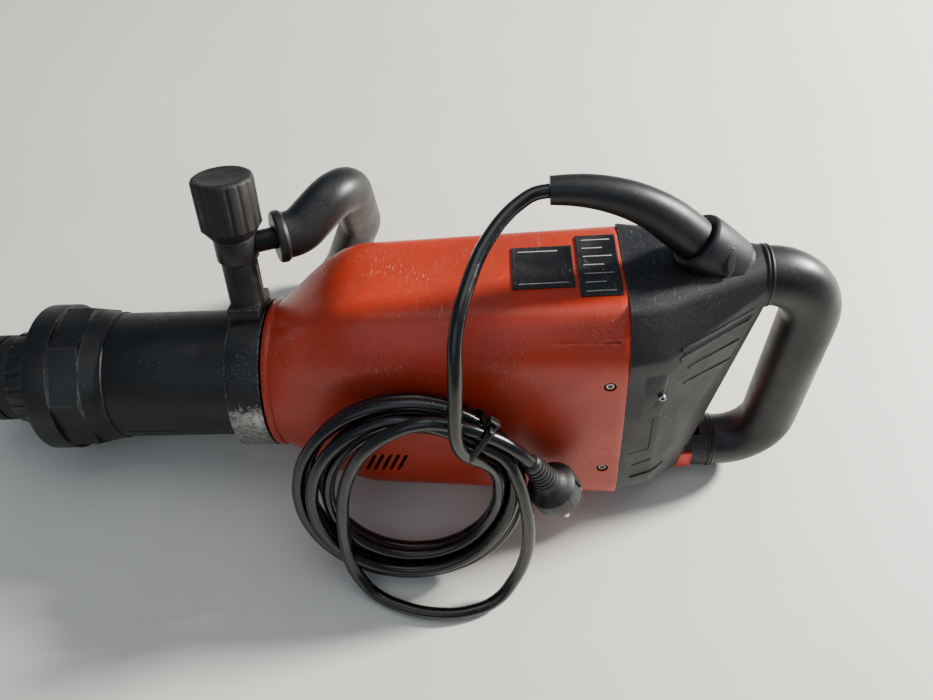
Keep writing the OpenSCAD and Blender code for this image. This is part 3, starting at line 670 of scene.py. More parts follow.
class Finishes(Enum):
    """The finishes of the tool, by what they are."""

    # Glass-filled polyamide, moulded in red-orange: satin, pale scratches, darker smudges.
    RED_SHELL = Moulding("red_glass_filled_polyamide", "#C4300C", "#A82A0C", 0.40, 0.8, 0.02,
                         "#A8907E", 0.30, "#E8A88C", 0.75, "#E58B69", 0.75, 70, 1.5, 0.15)
    # The same polyamide in black, spark-eroded: blue-black, dull, greyed by dust.
    BLACK_SHELL = Moulding("black_glass_filled_polyamide", "#171A1F", "#121519", 0.50, 1.0, 0.06,
                           "#7F7F7C", 0.34, "#8D9092", 0.6, "#62676C", 0.6)
    # Soft thermoplastic rubber on grips and boot: even, with a broad soft shine.
    GRIP_RUBBER = Moulding("black_thermoplastic_rubber", "#15181B", "#111315", 0.42, 0.7, 0.012,
                           "#7C7C78", 0.22, "#5E6265", 0.25, "#3E4246", 0.25, 45)
    # Hard fibre-filled rubber of knob and dust cap: rough, dusty.
    KNOB_RUBBER = Moulding("black_fibre_filled_phenolic", "#121314", "#1A1A19", 0.6, 1.3, 0.12,
                           "#77736B", 0.55, "#6F6C66", 0.5, "#5A5855", 0.6, 18)
    # Red switch rocker: clean satin plastic.
    SWITCH_RED = Moulding("red_acetal", "#E5361A", "#D22F14", 0.4, 0.8, 0.01, "#B09080", 0.1,
                          "#F0A090", 0.3, "#F08A70", 0.4, 20, 1.48, 0.2)
    # Polychloroprene sheath of the lead: black, smooth and shiny, with scuffs.
    CABLE = Moulding("black_polychloroprene_sheath", "#07080A", "#0D0E10", 0.22, 1.2, 0.008,
                     "#55585A", 0.16, "#7A7D80", 0.45, "#3A3D40", 0.2, 22, 1.52, 0.25)
    # Vinyl plug: duller than the lead.
    PLUG = Moulding("black_vinyl", "#17191B", "#1F2122", 0.48, 0.8, 0.03, "#77756F", 0.3,
                    "#77797B", 0.4, "#4A4C4E", 0.5, 15)
    # Nylon cable tie.
    TIE = Moulding("black_nylon_66", "#101214", "#17191B", 0.35, 0.6, 0.01, "#66696B", 0.15,
                   "#7A7D80", 0.2, "#4A4C4E", 0.3, 12)
    # Printed polyester plates.
    PLATE = Moulding("black_printed_polyester", "#101113", "#16171A", 0.36, 0.5, 0.006, "#6E6A63",
                     0.25, "#8C8C8A", 0.7, "#55565A", 0.6, 16)
    # Pale print lines on the plates.
    PRINT = Moulding("pale_grey_print", "#C9C7C2", "#A8A6A0", 0.5, 0.5, 0.004, "#6E6A63", 0.3,
                     "#55565A", 0.8, "#8A8A88", 0.2, 6)
    # Matte stoved paint on the cast neck and cap.
    CAST_PAINT = WornPaint("black_stoved_paint_on_cast_aluminium", "#0E1113", "#16181A", "#9B9A96",
                           0.5, 1.8, 0.05, 0.55, 0.45)
    # Blackened steel of the chuck and the bow's eye.
    BLACK_STEEL = WornPaint("blackened_steel", "#121416", "#1A1C1E", "#8A8B8C", 0.42, 1.2, 0.02,
                            0.7, 0.5)
    # Galvanised and oiled screws.
    SCREW = Metal("oiled_zinc_plated_steel", "#8F9092", "#4B4741", 0.36, 0.5, (1, 1, 1), 0.01, 0.6)
    # Ground bars, pins and races.
    GROUND = Metal("ground_bearing_steel", "#B9BABC", "#7A7872", 0.22, 0.5, (0.1, 1.5, 1.5), 0.004)
    # Hardened and oiled steel of holder, anvil, ram and gears.
    OILED = Metal("oiled_hardened_steel", "#7E7F82", "#49453F", 0.3, 0.7, (0.2, 1.2, 1.2), 0.01)
    # Die-cast gear case, piston and connecting rod.
    DIECAST = Metal("die_cast_aluminium", "#A9ABAD", "#76746F", 0.48, 1.4, (1, 1, 1), 0.05)
    # Laminated iron of stator and armature.
    IRON = Metal("laminated_electrical_steel", "#6D6F72", "#4A3F38", 0.45, 0.9, (0.1, 0.1, 2.0), 0.08)
    # Nickel-plated plug pins.
    NICKEL = Metal("nickel_plated_brass", "#C9C6BE", "#8F8A7E", 0.2, 0.5, (1, 1, 0.1), 0.003, 0.3)
    # Enamelled winding wire; its dark gap colour is painted shade between the wires.
    COPPER = Windings("enamelled_copper_wire", "#B4602A", "#5A2C14")
    # Commutator's copper bars.
    COMMUTATOR = Windings("drawn_copper_bars", "#C07A44", "#2A211C", 2.4)
    # Spring steel brass of the brush holders.
    BRASS = Metal("stamped_brass", "#C2A05A", "#7D6636", 0.32, 0.6, (1, 1, 1), 0.01)
    # Pressed carbon brushes.
    CARBON = Moulding("pressed_carbon", "#1D1E20", "#2A2B2D", 0.55, 0.8, 0.03)
    # Potted electronics.
    BOARD = Moulding("green_epoxy_potting", "#2E3F33", "#26352B", 0.35, 1.5, 0.03)
    # Terminal block.
    CREAM = Moulding("cream_polyamide", "#D6D0C0", "#C4BDAB", 0.45, 0.8, 0.02)
    # Oiled rubber rings.
    SEAL = Moulding("oiled_nitrile_rubber", "#121314", "#1A1B1C", 0.3, 0.8, 0.01)
    # Painted shade: a dull near-black colour for thin strips and discs laid in grooves, channels, gaps and
    # slots, standing in for the shade inside them.
    PAINTED_SHADE_RECESS = Moulding("painted_shade_black_recess", "#08090A", "#0C0D0E", 0.75, 1.0, 0.02, "#333333", 0.05,
                      "#222222", 0.0, "#111111", 0.0)
    BAND = band_wear()


MADE: dict[str, bpy.types.Material] = {}


def dress(piece: bpy.types.Object, finish: Finishes) -> bpy.types.Object:
    """Gives a piece its finish, built on first use.

    Args:
        piece: the object to finish.
        finish: the finish that it gets.

    Returns:
        The same piece.
    """
    if finish.value.name not in MADE:
        MADE[finish.value.name] = finish.value.build()
    piece.data.materials.clear()
    piece.data.materials.append(MADE[finish.value.name])
    return piece


def place_piece(piece: bpy.types.Object, body: str, finish: Finishes
                ) -> bpy.types.Object:
    """Dresses a finished piece and makes it ride on its body.

    Args:
        piece: the finished piece, in its place.
        body: the moving body that carries it.
        finish: its finish.

    Returns:
        The same piece.
    """
    dress(piece, finish)
    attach(piece, body)
    LOG.info("%s rides on %s in %s", piece.name, body, finish.value.name)
    return piece


# ---- camera and studio --------------------------------------------------------------------------
@dataclass(frozen=True)
class Studio:
    """The camera, the pale floor and the soft light."""

    eye: Point = (0.0217, -0.4014, 0.6358)
    right: Point = (0.99790, 0.00766, 0.06416)
    back: Point = (-0.04809, -0.56495, 0.82014)
    lens: float = 32.41
    floor: str = "#E6E4DC"

    def build(self) -> None:
        """Makes camera, floor and lights."""
        self.camera()
        self.table()
        self.lights()

    def camera(self) -> None:
        """Stands the camera at its measured place and tilt."""
        made = bpy.data.cameras.new("camera")
        made.lens = self.lens
        made.clip_start, made.clip_end = 0.01, 50
        camera = bpy.data.objects.new("camera", made)
        bpy.context.scene.collection.objects.link(camera)
        right, back = Vector(self.right).normalized(), Vector(self.back).normalized()
        up = back.cross(right).normalized()
        turn = Matrix((right, up, back)).transposed().to_4x4()
        camera.matrix_world = Matrix.Translation(self.eye) @ turn
        bpy.context.scene.camera = camera

    def table(self) -> None:
        """Lays a plain pale floor under the tool."""
        bpy.ops.mesh.primitive_plane_add(size=12, location=(0, 0, 0))
        floor = named("floor")
        s = Surface("pale_melamine_top")
        haze = s.ramp(s.noise(260, 4, 0.6), 0.3, 0.7)
        colour = s.mix(haze, self.floor, "#DFDDD5")
        floor.data.materials.append(s.close({"Roughness": 0.55}, {"Base Color": colour}))

    def lights(self) -> None:
        """A soft key from the right and behind, a broad fill and an even sky."""
        for name, place, size, power, tint in (
                ("key", (1.80, 0.70, 1.20), 0.34, 138, (1.0, 0.965, 0.91)),
                ("fill", (-0.6, -1.6, 1.9), 2.2, 8, (0.86, 0.92, 1.0)),
                ("top", (0.2, 0.5, 2.6), 2.2, 14, (0.95, 0.97, 1.0))):
            made = bpy.data.lights.new(name, "AREA")
            made.shape, made.size, made.energy, made.color = "DISK", size, power, tint
            light = bpy.data.objects.new(name, made)
            light.location = place
            light.rotation_euler = (Vector((0, -0.05, 0.1)) - Vector(place)).to_track_quat(
                "-Z", "Y").to_euler()
            bpy.context.scene.collection.objects.link(light)
        world = bpy.data.worlds.new("sky")
        world.use_nodes = True
        sky = world.node_tree.nodes["Background"]
        sky.inputs[0].default_value = (0.62, 0.70, 0.82, 1)
        sky.inputs[1].default_value = 0.26
        bpy.context.scene.world = world


# ---- lead ---------------------------------------------------------------------------------------
@dataclass(frozen=True)
class MainsLead:
    """The lead: from the boot down, wound in turns, one wide loop, and into the plug."""

    diameter_mm: float = 9.5
    turns: int = 5
    turn_r_mm: float = 70.0
    bundle_r_mm: float = 8.2
    lean_deg: float = 23.0
    centre_mm: Point = (16.0, -142.5, 78.235)
    first_deg: float = 28.0
    last_deg: float = 100.0
    plug_turn_deg: float = 151.0
    tie_deg: float = 56.0
    drop: tuple[Point, ...] = (
        (96, -16, 258.3), (86, -18, 256.5), (77, -24, 254), (68, -33, 251), (59, -46, 247),
        (52, -60, 243.5), (46, -78, 239), (41, -97, 233), (39, -113, 223), (40, -126, 207),
        (41, -134, 190), (42, -140, 173), (44, -144, 158), (48, -145, 146), (55, -144, 136),
        (63, -142, 127))
    loop: tuple[Point, ...] = (
        (68, -138, 137), (79, -142, 131), (88, -150, 117), (96, -160, 95), (101, -169, 69),
        (101, -177, 44), (95, -186, 22), (83, -197, 7.5), (64, -205, 5.2), (38, -208, 5.2),
        (12, -203, 5.2), (-7, -195, 6.2), (-19, -187, 15), (-27, -179, 30), (-31, -171, 50),
        (-32, -164, 72), (-31, -155, 94), (-25, -147, 117), (-14, -141, 137), (2, -136, 151),
        (20, -133, 159), (38, -132, 157.5))
    tail: tuple[Point, ...] = (
        (52, -133, 154), (64, -134, 149), (75, -135.5, 143.5), (86, -138, 135.5), (96, -140, 125))

    def axes(self) -> tuple[Vector, Vector, Vector]:
        """Right, up and outward directions of the wound turns' plane."""
        lean = math.radians(self.lean_deg)
        return (Vector((1, 0, 0)), Vector((0, math.sin(lean), math.cos(lean))),
                Vector((0, -math.cos(lean), math.sin(lean))))

    def wound(self) -> list[Vector]:
        """Points of the turns, which change places in the bundle near the tie."""
        right, up, out = self.axes()
        stop = self.last_deg - 360 * self.turns
        count = round((self.first_deg - stop) / 18)
        points = []
        for i in range(count + 1):
            angle = self.first_deg + (stop - self.first_deg) * i / count
            travelled = 60 - angle
            change = min((travelled % 360) / 90, 1)
            eased = change * change * (3 - 2 * change)
            place = math.radians(90 + 72 * (travelled // 360 + eased))
            slack = 0.5 + 0.5 * math.cos(math.radians(angle - 190))
            r = self.bundle_r_mm * (1 + 0.35 * slack)
            if travelled < 90:
                r += (14.5 - self.bundle_r_mm) * (1 - eased)
            turn = math.radians(angle)
            reach = self.turn_r_mm + r * math.cos(place)
            points.append(Vector(self.centre_mm) + reach * (right * math.cos(turn) + up * math.sin(turn))
                          + r * math.sin(place) * out)
        return points

    def route(self) -> list[Vector]:
        """The whole centreline in metres, boot to plug."""
        points = [Vector(p) for p in self.drop] + self.wound()
        points += [Vector(p) for p in self.loop + self.tail]
        low = self.diameter_mm / 2 + 0.3
        return [Vector((p.x, max(p.y, -207.6), max(p.z, low))) * MM for p in points]

    def length(self) -> float:
        """Length along the route in metres."""
        route = self.route()
        return sum((b - a).length for a, b in zip(route, route[1:])) * 1.004

    def build(self) -> None:
        """Makes the lead, its tie, its plug and the plug's pins."""
        curve = bpy.data.curves.new("mains_lead", "CURVE")
        curve.dimensions = "3D"
        curve.bevel_depth = self.diameter_mm / 2 * MM
        curve.bevel_resolution = 5
        curve.resolution_u = 6
        curve.use_fill_caps = True
        route = self.route()
        line = curve.splines.new("BEZIER")
        line.bezier_points.add(len(route) - 1)
        for knot, point in zip(line.bezier_points, route):
            knot.co = point
            knot.handle_left_type = knot.handle_right_type = "AUTO"
        lead = bpy.data.objects.new("mains_lead", curve)
        bpy.context.scene.collection.objects.link(lead)
        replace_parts(lead, "lead_tube", "lead_coil", "lead_loop", "lead_tail")
        place_piece(lead, "housing", Finishes.CABLE)
        tie = self.tie()
        plug = self.plug()
        pins = self.pins()
        round(self.length(), 3)

    def tie(self) -> bpy.types.Object:
        """The tie: a strap round the strands with its head and cut tail."""
        right, up, out = self.axes()
        turn = math.radians(self.tie_deg)
        radial = right * math.cos(turn) + up * math.sin(turn)
        along = radial.cross(out)
        centre = Vector(self.centre_mm) + self.turn_r_mm * radial
        lie = Matrix((radial, out, along)).transposed().to_4x4()
        frame_matrix = Matrix.Translation(centre * MM) @ lie
        corners: list[tuple[float, float]] = []
        arcs = (((0, 0), 14.4, 165, 375), ((14, 20), 6.0, 15, 80), ((-2, 24), 6.0, 80, 165))
        for (cx, cy), r, a0, a1 in arcs:
            for i in range(9):
                a = math.radians(a0 + (a1 - a0) * i / 8)
                corners.append((cx + r * math.cos(a), cy + r * math.sin(a)))
        bpy.ops.mesh.primitive_circle_add(vertices=len(corners), radius=0.014, fill_type="NOTHING")
        strap = named("cable_tie_strap")
        for vertex, (x, y) in zip(strap.data.vertices, corners):
            vertex.co = (x * MM, y * MM, -2.4 * MM)
        bpy.ops.object.mode_set(mode="EDIT")
        bpy.ops.mesh.select_mode(type="VERT")
        bpy.ops.mesh.select_all(action="SELECT")
        pull((0, 0, 4.8 * MM))
        bpy.ops.mesh.select_all(action="SELECT")
        bpy.ops.mesh.normals_make_consistent(inside=False)
        leave_edit()
        wall = strap.modifiers.new("thickness", "SOLIDIFY")
        wall.thickness, wall.offset = 1.3 * MM, 0.0
        bpy.ops.object.modifier_apply(modifier=wall.name)
        head = block("cable_tie_head", (17.5, 14, -4), (25.5, 20.5, 4))
        choose_faces(head, lambda c, n: n.y > 0.9)
        bpy.ops.mesh.inset(thickness=1.6 * MM)
        pull((0, -1.5 * MM, 0))
        leave_edit()
        end = block("cable_tie_end", (20.6, 19, -2.2), (22, 27, 2.2))
        tie = joined("cable_tie_strap", [strap, head, end])
        soften(tie, 0.35, 2, 40)
        settle(tie, frame_matrix)
        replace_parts(tie, "cable_tie")
        return place_piece(tie, "housing", Finishes.TIE)

    def at_plug(self) -> Matrix:
        """Places a piece turned along x at the plug, along the lead's end."""
        start = Vector(self.tail[-1]) * MM
        swing = Matrix.Rotation(math.radians(self.plug_turn_deg), 4, "Y")
        return Matrix.Translation(start) @ swing @ Matrix.Rotation(math.radians(-90), 4, "Y")

    def plug(self) -> bpy.types.Object:
        """The plug: ribbed strain relief, waist, round face with its recess and side notches."""
        rings = [(-1, 5.4), (1, 6.6)]
        for i in range(6):
            x = 2.5 + 4.0 * i
            r = 7.0 + 0.42 * i
            rings += [(x, r), (x + 2.1, r + 0.1), (x + 2.3, r - 1.7), (x + 3.8, r - 1.6)]
        rings += [(26.8, 9.4), (30, 9.8), (33, 11.0), (36, 14.2), (38, 17.4), (39.5, 18.3),
                  (54.6, 18.4), (55.8, 17.4), (55.8, 15.6), (53.4, 15.2)]
        body = turned("plug_moulding", rings, 64)
        choose_faces(body, lambda c, n: (39.6 * MM < c.x < 54.5 * MM and abs(c.y) < 2.6 * MM
                                         and abs(n.z) > 0.9))
        pull((0, 0, 0))
        bpy.ops.transform.resize(value=(0.82, 1, 0.86), center_override=(47 * MM, 0, 0))
        leave_edit()
        soften(body, 0.45, 2, 28)
        ribs = []
        for side in (-1, 1):
            rib = block("plug_grip_rib", (40.5, side * 13 - 0.8, 11.6), (52, side * 13 + 0.8, 13.8))
            soften(rib, 0.5, 2)
            ribs.append(rib)
        piece = joined("plug_moulding", [body, *ribs])
        settle(piece, self.at_plug())
        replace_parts(piece, "plug_body")
        return place_piece(piece, "housing", Finishes.PLUG)

    def pins(self) -> bpy.types.Object:
        """The two round contact pins with their rounded tips."""
        made = []
        for side in (-1, 1):
            pin = turned("plug_pin", [(50, 2.4), (70.5, 2.4), (72.6, 2.0), (74.0, 1.1)], 32)
            pin.location.y = side * 9.5 * MM
            soften(pin, 0.3, 2)
            made.append(pin)
        piece = joined("plug_contact_pins", made)
        settle(piece, self.at_plug())
        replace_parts(piece, "plug_pins")
        return place_piece(piece, "housing", Finishes.NICKEL)


# ---- housings -----------------------------------------------------------------------------------
@dataclass(frozen=True)
class MotorHousing:
    """The red shell with its screws, ridges and blank plates."""

    length_mm: float = 258.0
    top_mm: float = 98.0
    nose_top_mm: float = 93.0
    nose_len_mm: float = 60.0
    sharpness: float = 26.0
    slots: int = 7

    def slope(self, x: float) -> float:
        """Height of the lead side's flat at a place along the tool."""
        rise = (self.top_mm - self.nose_top_mm) / (self.length_mm - self.nose_len_mm)
        return self.top_mm - (self.length_mm - x) * rise

    def build(self) -> None:
        """Makes the shell and what is fixed to it."""
        self.shell()
        self.seam()
        self.plates()
        screws = from_cad("housing_shell_screws", "housing_screws", 0.3, 2)
        place_piece(screws, "housing", Finishes.SCREW)

    def reach(self, x: float, angle: float) -> float:
        """Distance from the tool's axis to the shell's skin.

        Args:
            x: place along the tool in millimetres.
            angle: direction round the axis, from the near side's opposite towards the lead side.

        Returns:
            Millimetres; the flats round into one another and the nose swells from a circle.
        """
        along = max(0.0, min(1.0, (x - self.nose_len_mm) / (self.length_mm - self.nose_len_mm)))
        half = 62 + 5 * along
        top = self.nose_top_mm + (self.top_mm - self.nose_top_mm) * along
        bottom = 74 + 17 * along
        flats = ((0, half), (180, half), (90, top), (270, bottom),
                 (34, (half * 0.832 + (top - 30) * 0.555)), (146, (half * 0.832 + (top - 30) * 0.555)),
                 (-61, (half * 0.484 + (bottom - 3) * 0.786)), (-119, (half * 0.484 + (bottom - 3) * 0.786)))
        total = 0.0
        for facing, distance in flats:
            lean = math.cos(angle - math.radians(facing))
            if lean > 0:
                total += (lean / distance) ** self.sharpness
        body = total ** (-1 / self.sharpness)
        swell = max(0.0, min(1.0, (x - 6) / 70))
        swell = math.sin(swell * math.pi / 2) ** 1.15
        return 56 + (body - 56) * swell if x > 6 else 55.5

    def shell(self) -> None:
        """The red shell: drawn out station by station, walled, vented and edged."""
        stations = [0.6, 3, 6, 9, 13, 18, 24, 31, 39, 48, 58, 70, 84, 100, 120, 140, 160, 180, 200, 220,
                    240, 252, 256.4, 257.9]
        shell = turned("motor_housing_shell", [(x, 50) for x in stations], 160, hollow=False)
        choose_faces(shell, lambda c, n: abs(n.x) > 0.99)
        bpy.ops.mesh.delete(type="ONLY_FACE")
        leave_edit()
        for vertex in shell.data.vertices:
            x = vertex.co.x / MM
            angle = math.atan2(vertex.co.z, vertex.co.y)
            r = self.reach(x, angle) - (0.9 if x > 257 else 0.0)
            vertex.co.y, vertex.co.z = r * MM * math.cos(angle), r * MM * math.sin(angle)
        mend(shell)
        wall = shell.modifiers.new("wall", "SOLIDIFY")
        wall.thickness, wall.offset = 3.6 * MM, -1.0
        bpy.ops.object.modifier_apply(modifier=wall.name)
        self.cut(shell)
        soften(shell, 0.0)
        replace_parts(settle(shell), "red_housing")
        place_piece(shell, "housing", Finishes.RED_SHELL)

    def cut(self, shell: bpy.types.Object) -> None:
        """Cuts the slanted cooling slots, the screw seats and the long moulded grooves.

        Args:
            shell: the walled shell, still in the tool's own metres.
        """
        cutters = []
        for i in range(self.slots):
            slot = block("slot", (-1.5, -90, -11), (1.5, 90, 11))
            soften(slot, 1.2, 3)
            slot.location = Vector((self.nose_len_mm + 6 * i, 0, -38)) * MM
            slot.rotation_euler = (0, math.radians(25), 0)
            cutters.append(slot)
        for z in (46.0, -44.0):
            for side in (-1, 1):
                seat = turned("seat", [(-9, 4.4), (9, 4.4)], 32)
                seat.rotation_euler = (0, 0, math.radians(90))
                seat.location = Vector((246, side * 67, z)) * MM
                cutters.append(seat)
        for z, depth, x0, x1 in ((80.0, 1.2, 176, 252), (66.0, 0.9, 176, 248), (-20.0, 0.8, 96, 250)):
            reach = self.reach(220, math.atan2(z, -55))
            y = -math.sqrt(max(reach ** 2 - z ** 2, 0))
            groove = block("groove", (x0, y - 4, z - 1.1), (x1, y + depth, z + 1.1))
            soften(groove, 0.4, 2)
            cutters.append(groove)
        for cutter in cutters:
            pick(cutter)
            bake()
        carve(shell, joined("cutters", cutters))

    def seam(self) -> None:
        """The nose ring behind the clamp band."""
        ring = turned("housing_nose_ring", [(0.4, 50), (0.4, 56.2), (3.4, 57.3), (6.5, 56.6), (6.5, 50)],
                      96, hollow=True)
        soften(ring, 0.5, 2)
        place_piece(settle(ring), "housing", Finishes.RED_SHELL)

    def plates(self) -> None:
        """Two blank plates, each with a raised rim and ruled lines instead of print."""
        rise = math.atan2(self.top_mm - self.nose_top_mm, self.length_mm - self.nose_len_mm)
        for name, node, x0, length, half, rules in (
                ("sound_plate", "label_plate", 182.0, 42.0, 22.0, 2),
                ("data_plate", "rating_plate", 227.0, 28.0, 32.0, 7)):
            base = block(name, (0, -half, 0), (length, half, 0.85))
            choose_faces(base, lambda c, n: n.z > 0.9)
            bpy.ops.mesh.inset(thickness=1.4 * MM)
            pull((0, 0, -0.25 * MM))
            leave_edit()
            soften(base, 0.3, 2)
            foot = Matrix.Translation(Vector((x0, 0, self.slope(x0))) * MM)
            turn = LIE @ foot @ Matrix.Rotation(-rise, 4, "Y")
            settle(base, turn)
            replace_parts(base, node)
            place_piece(base, "housing", Finishes.PLATE)
            lines = []
            for i in range(rules):
                y = -half + 5 + (2 * half - 10) * i / max(rules - 1, 1)
                reach = length - (14 if i % 2 else 8)
                line = block("rule", (4, y - 0.45, 0.5), (4 + reach, y + 0.45, 0.72))
                soften(line, 0.08, 1)
                lines.append(line)
            print_lines = settle(joined(name + "_rules", lines), turn)
            place_piece(print_lines, "housing", Finishes.PRINT)


@dataclass(frozen=True)
class RearHousing:
    """The black shell with its ribs, cable hood, hatch and the D-handle."""

    boot_base: Point = (304.0, 0.0, 117.0)
    boot_rise_deg: float = 42.0

    def at_boot(self) -> Matrix:
        """Places a piece turned along x on the boot's axis, looking out of the housing."""
        base = Matrix.Translation(Vector(self.boot_base) * MM)
        return LIE @ base @ Matrix.Rotation(math.radians(self.boot_rise_deg - 180), 4, "Y")

    def build(self) -> None:
        """Makes the shell and what is fixed to it."""
        shell = from_cad("rear_housing_shell", "rear_housing", 1.8, 3, 24)
        place_piece(shell, "housing", Finishes.BLACK_SHELL)
        hatch = from_cad("brush_hatch", "service_hatch", 0.7, 2, 24)
        place_piece(hatch, "housing", Finishes.BLACK_SHELL)
        screw = from_cad("brush_hatch_screw", "hatch_screw", 0.25, 2)
        place_piece(screw, "housing", Finishes.SCREW)
        self.hood()
        self.ribs(shell)
        self.grips()

    def hood(self) -> None:
        """The cable hood round the boot's root, with its oval slot; a near-black oval in the slot is painted
        shade.
        """
        hood = turned("cable_hood", [(-34, 20.5), (-8, 20.8), (-1.5, 20.2), (0.8, 18.6), (0.8, 15.6),
                                     (-5, 15.4), (-34, 15.4)], 80, hollow=True)
        soften(hood, 0.8, 3, 25)
        place_piece(settle(hood, self.at_boot()), "housing", Finishes.BLACK_SHELL)
        for name, r, height, finish in (("cable_hood_slot_rim", 4.6, 1.0, Finishes.BLACK_SHELL),
                                        # The inner oval is painted shade: a near-black disc standing for the
                                        # shade inside the slot.
                                        ("cable_hood_slot", 3.6, 1.5, Finishes.PAINTED_SHADE_RECESS)):
            eye = turned(name, [(-1.5, r * 0.9), (-0.3, r), (height - 1.0, r * 0.92),
                                (height - 0.8, r * 0.7)], 48)
            eye.scale = (1.0, 1.0, 2.2)
            eye.rotation_euler = (0, 0, math.radians(-90))
            pick(eye)
            bake()
            eye.rotation_euler = (0, math.radians(-28), 0)
            eye.location = Vector((-19, -20.4, 3)) * MM
            soften(eye, 0.25, 2)
            swing = self.at_boot() @ Matrix.Rotation(math.radians(36), 4, "X")
            place_piece(settle(eye, swing), "housing", finish)

    def ribs(self, shell: bpy.types.Object) -> None:
        """Raised ribs, and fine panel lines, a channel and a slot drawn as near-black strips of painted
        shade, that follow the black shell's near side.

        Args:
            shell: the finished black shell.
        """
        # The near-black strips are painted shade: thin dark strips standing for the shade inside the
        # channel, the panel seams and the slot.
        for name, low, high, height, tilt, finish in (
                ("shoulder_rib", (292, 63), (344, 65.2), 0.9, -2, Finishes.BLACK_SHELL),
                ("shoulder_channel_painted_shade", (294, 57.4), (344, 62.6), 0.15, -2, Finishes.PAINTED_SHADE_RECESS),
                ("channel_foot", (292, 55.0), (342, 57.0), 0.9, -2, Finishes.BLACK_SHELL),
                ("middle_rib", (300, 40.0), (338, 42.0), 0.8, 0, Finishes.BLACK_SHELL),
                ("waist_rib", (299, 24), (334, 26.0), 0.7, 3, Finishes.BLACK_SHELL),
                ("panel_seam_upright_painted_shade", (279, -34), (279.8, 2), 0.12, 0, Finishes.PAINTED_SHADE_RECESS),
                ("panel_seam_level_painted_shade", (264, -34.8), (280, -34), 0.12, -8, Finishes.PAINTED_SHADE_RECESS),
                ("foot_rib", (268, -66), (294, -63.8), 0.9, -8, Finishes.BLACK_SHELL),
                ("foot_slot_painted_shade", (268, -50), (282, -48.2), 0.15, -14, Finishes.PAINTED_SHADE_RECESS)):
            strip = skin_strip(name, shell, low, high, height, tilt, min(0.5, height / 2))
            place_piece(strip, "housing", finish)

    def grips(self) -> None:
        """The D-handle's rubber and the collars where it meets the arms."""
        grip = from_cad("d_handle_rubber", "handle_grip", 0.8, 2, 40, 0.1)
        place_piece(grip, "housing", Finishes.GRIP_RUBBER)
        for name, z, x in (("upper_collar", 84.0, 352.0), ("lower_collar", -96.0, 340.0)):
            ring = turned(name, [(x, 19), (x, 21.9), (x + 1.4, 22.2), (x + 2.0, 21.3), (x + 2.8, 21.3),
                                 (x + 3.4, 22.1), (x + 5.0, 21.7), (x + 5.0, 19)], 80, hollow=True)
            ring.location.z = z * MM
            soften(ring, 0.25, 2, 25)
            place_piece(settle(ring), "housing", Finishes.GRIP_RUBBER)
        boot = from_cad("cable_boot", "cord_boot", 0.0, 2, 40, 0.1)
        place_piece(boot, "housing", Finishes.GRIP_RUBBER)


@dataclass(frozen=True)
class NeckAndChuck:
    """Neck cover, octagonal cap, chuck ring and dust cap."""

    cover_front_mm: float = -123.0

    def build(self) -> None:
        """Makes the four pieces and their screws."""
        for name, node, width, segments, angle, body, finish, slot in (
                ("neck_cover_tube", "neck_cover", 0.6, 2, 30, "housing", Finishes.CAST_PAINT,
                 "black_painted_cast"),
                ("octagonal_front_cap", "front_cap", 1.4, 3, 20, "housing", Finishes.CAST_PAINT,
                 "black_painted_cast"),
                ("front_cap_socket_screws", "front_cap_screws", 0.35, 2, 30, "housing",
                 Finishes.SCREW, "bright_steel"),
                ("chuck_grip_ring", "chuck_sleeve", 0.7, 2, 28, "chuck_sleeve",
                 Finishes.BLACK_STEEL, "painted_steel"),
                ("chuck_dust_cap", "dust_cap", 0.9, 3, 25, "housing", Finishes.KNOB_RUBBER,
                 "dull_rubber")):
            place_piece(from_cad(name, node, width, segments, angle), body, finish)
        front = self.cover_front_mm
        lip = turned("neck_cover_lip", [(front, 46), (front, 49.3), (front + 2.4, 49.6),
                                        (front + 3.2, 48.3), (front + 3.2, 46)], 96, hollow=True)
        soften(lip, 0.3, 2)
        place_piece(settle(lip), "housing", Finishes.CAST_PAINT)


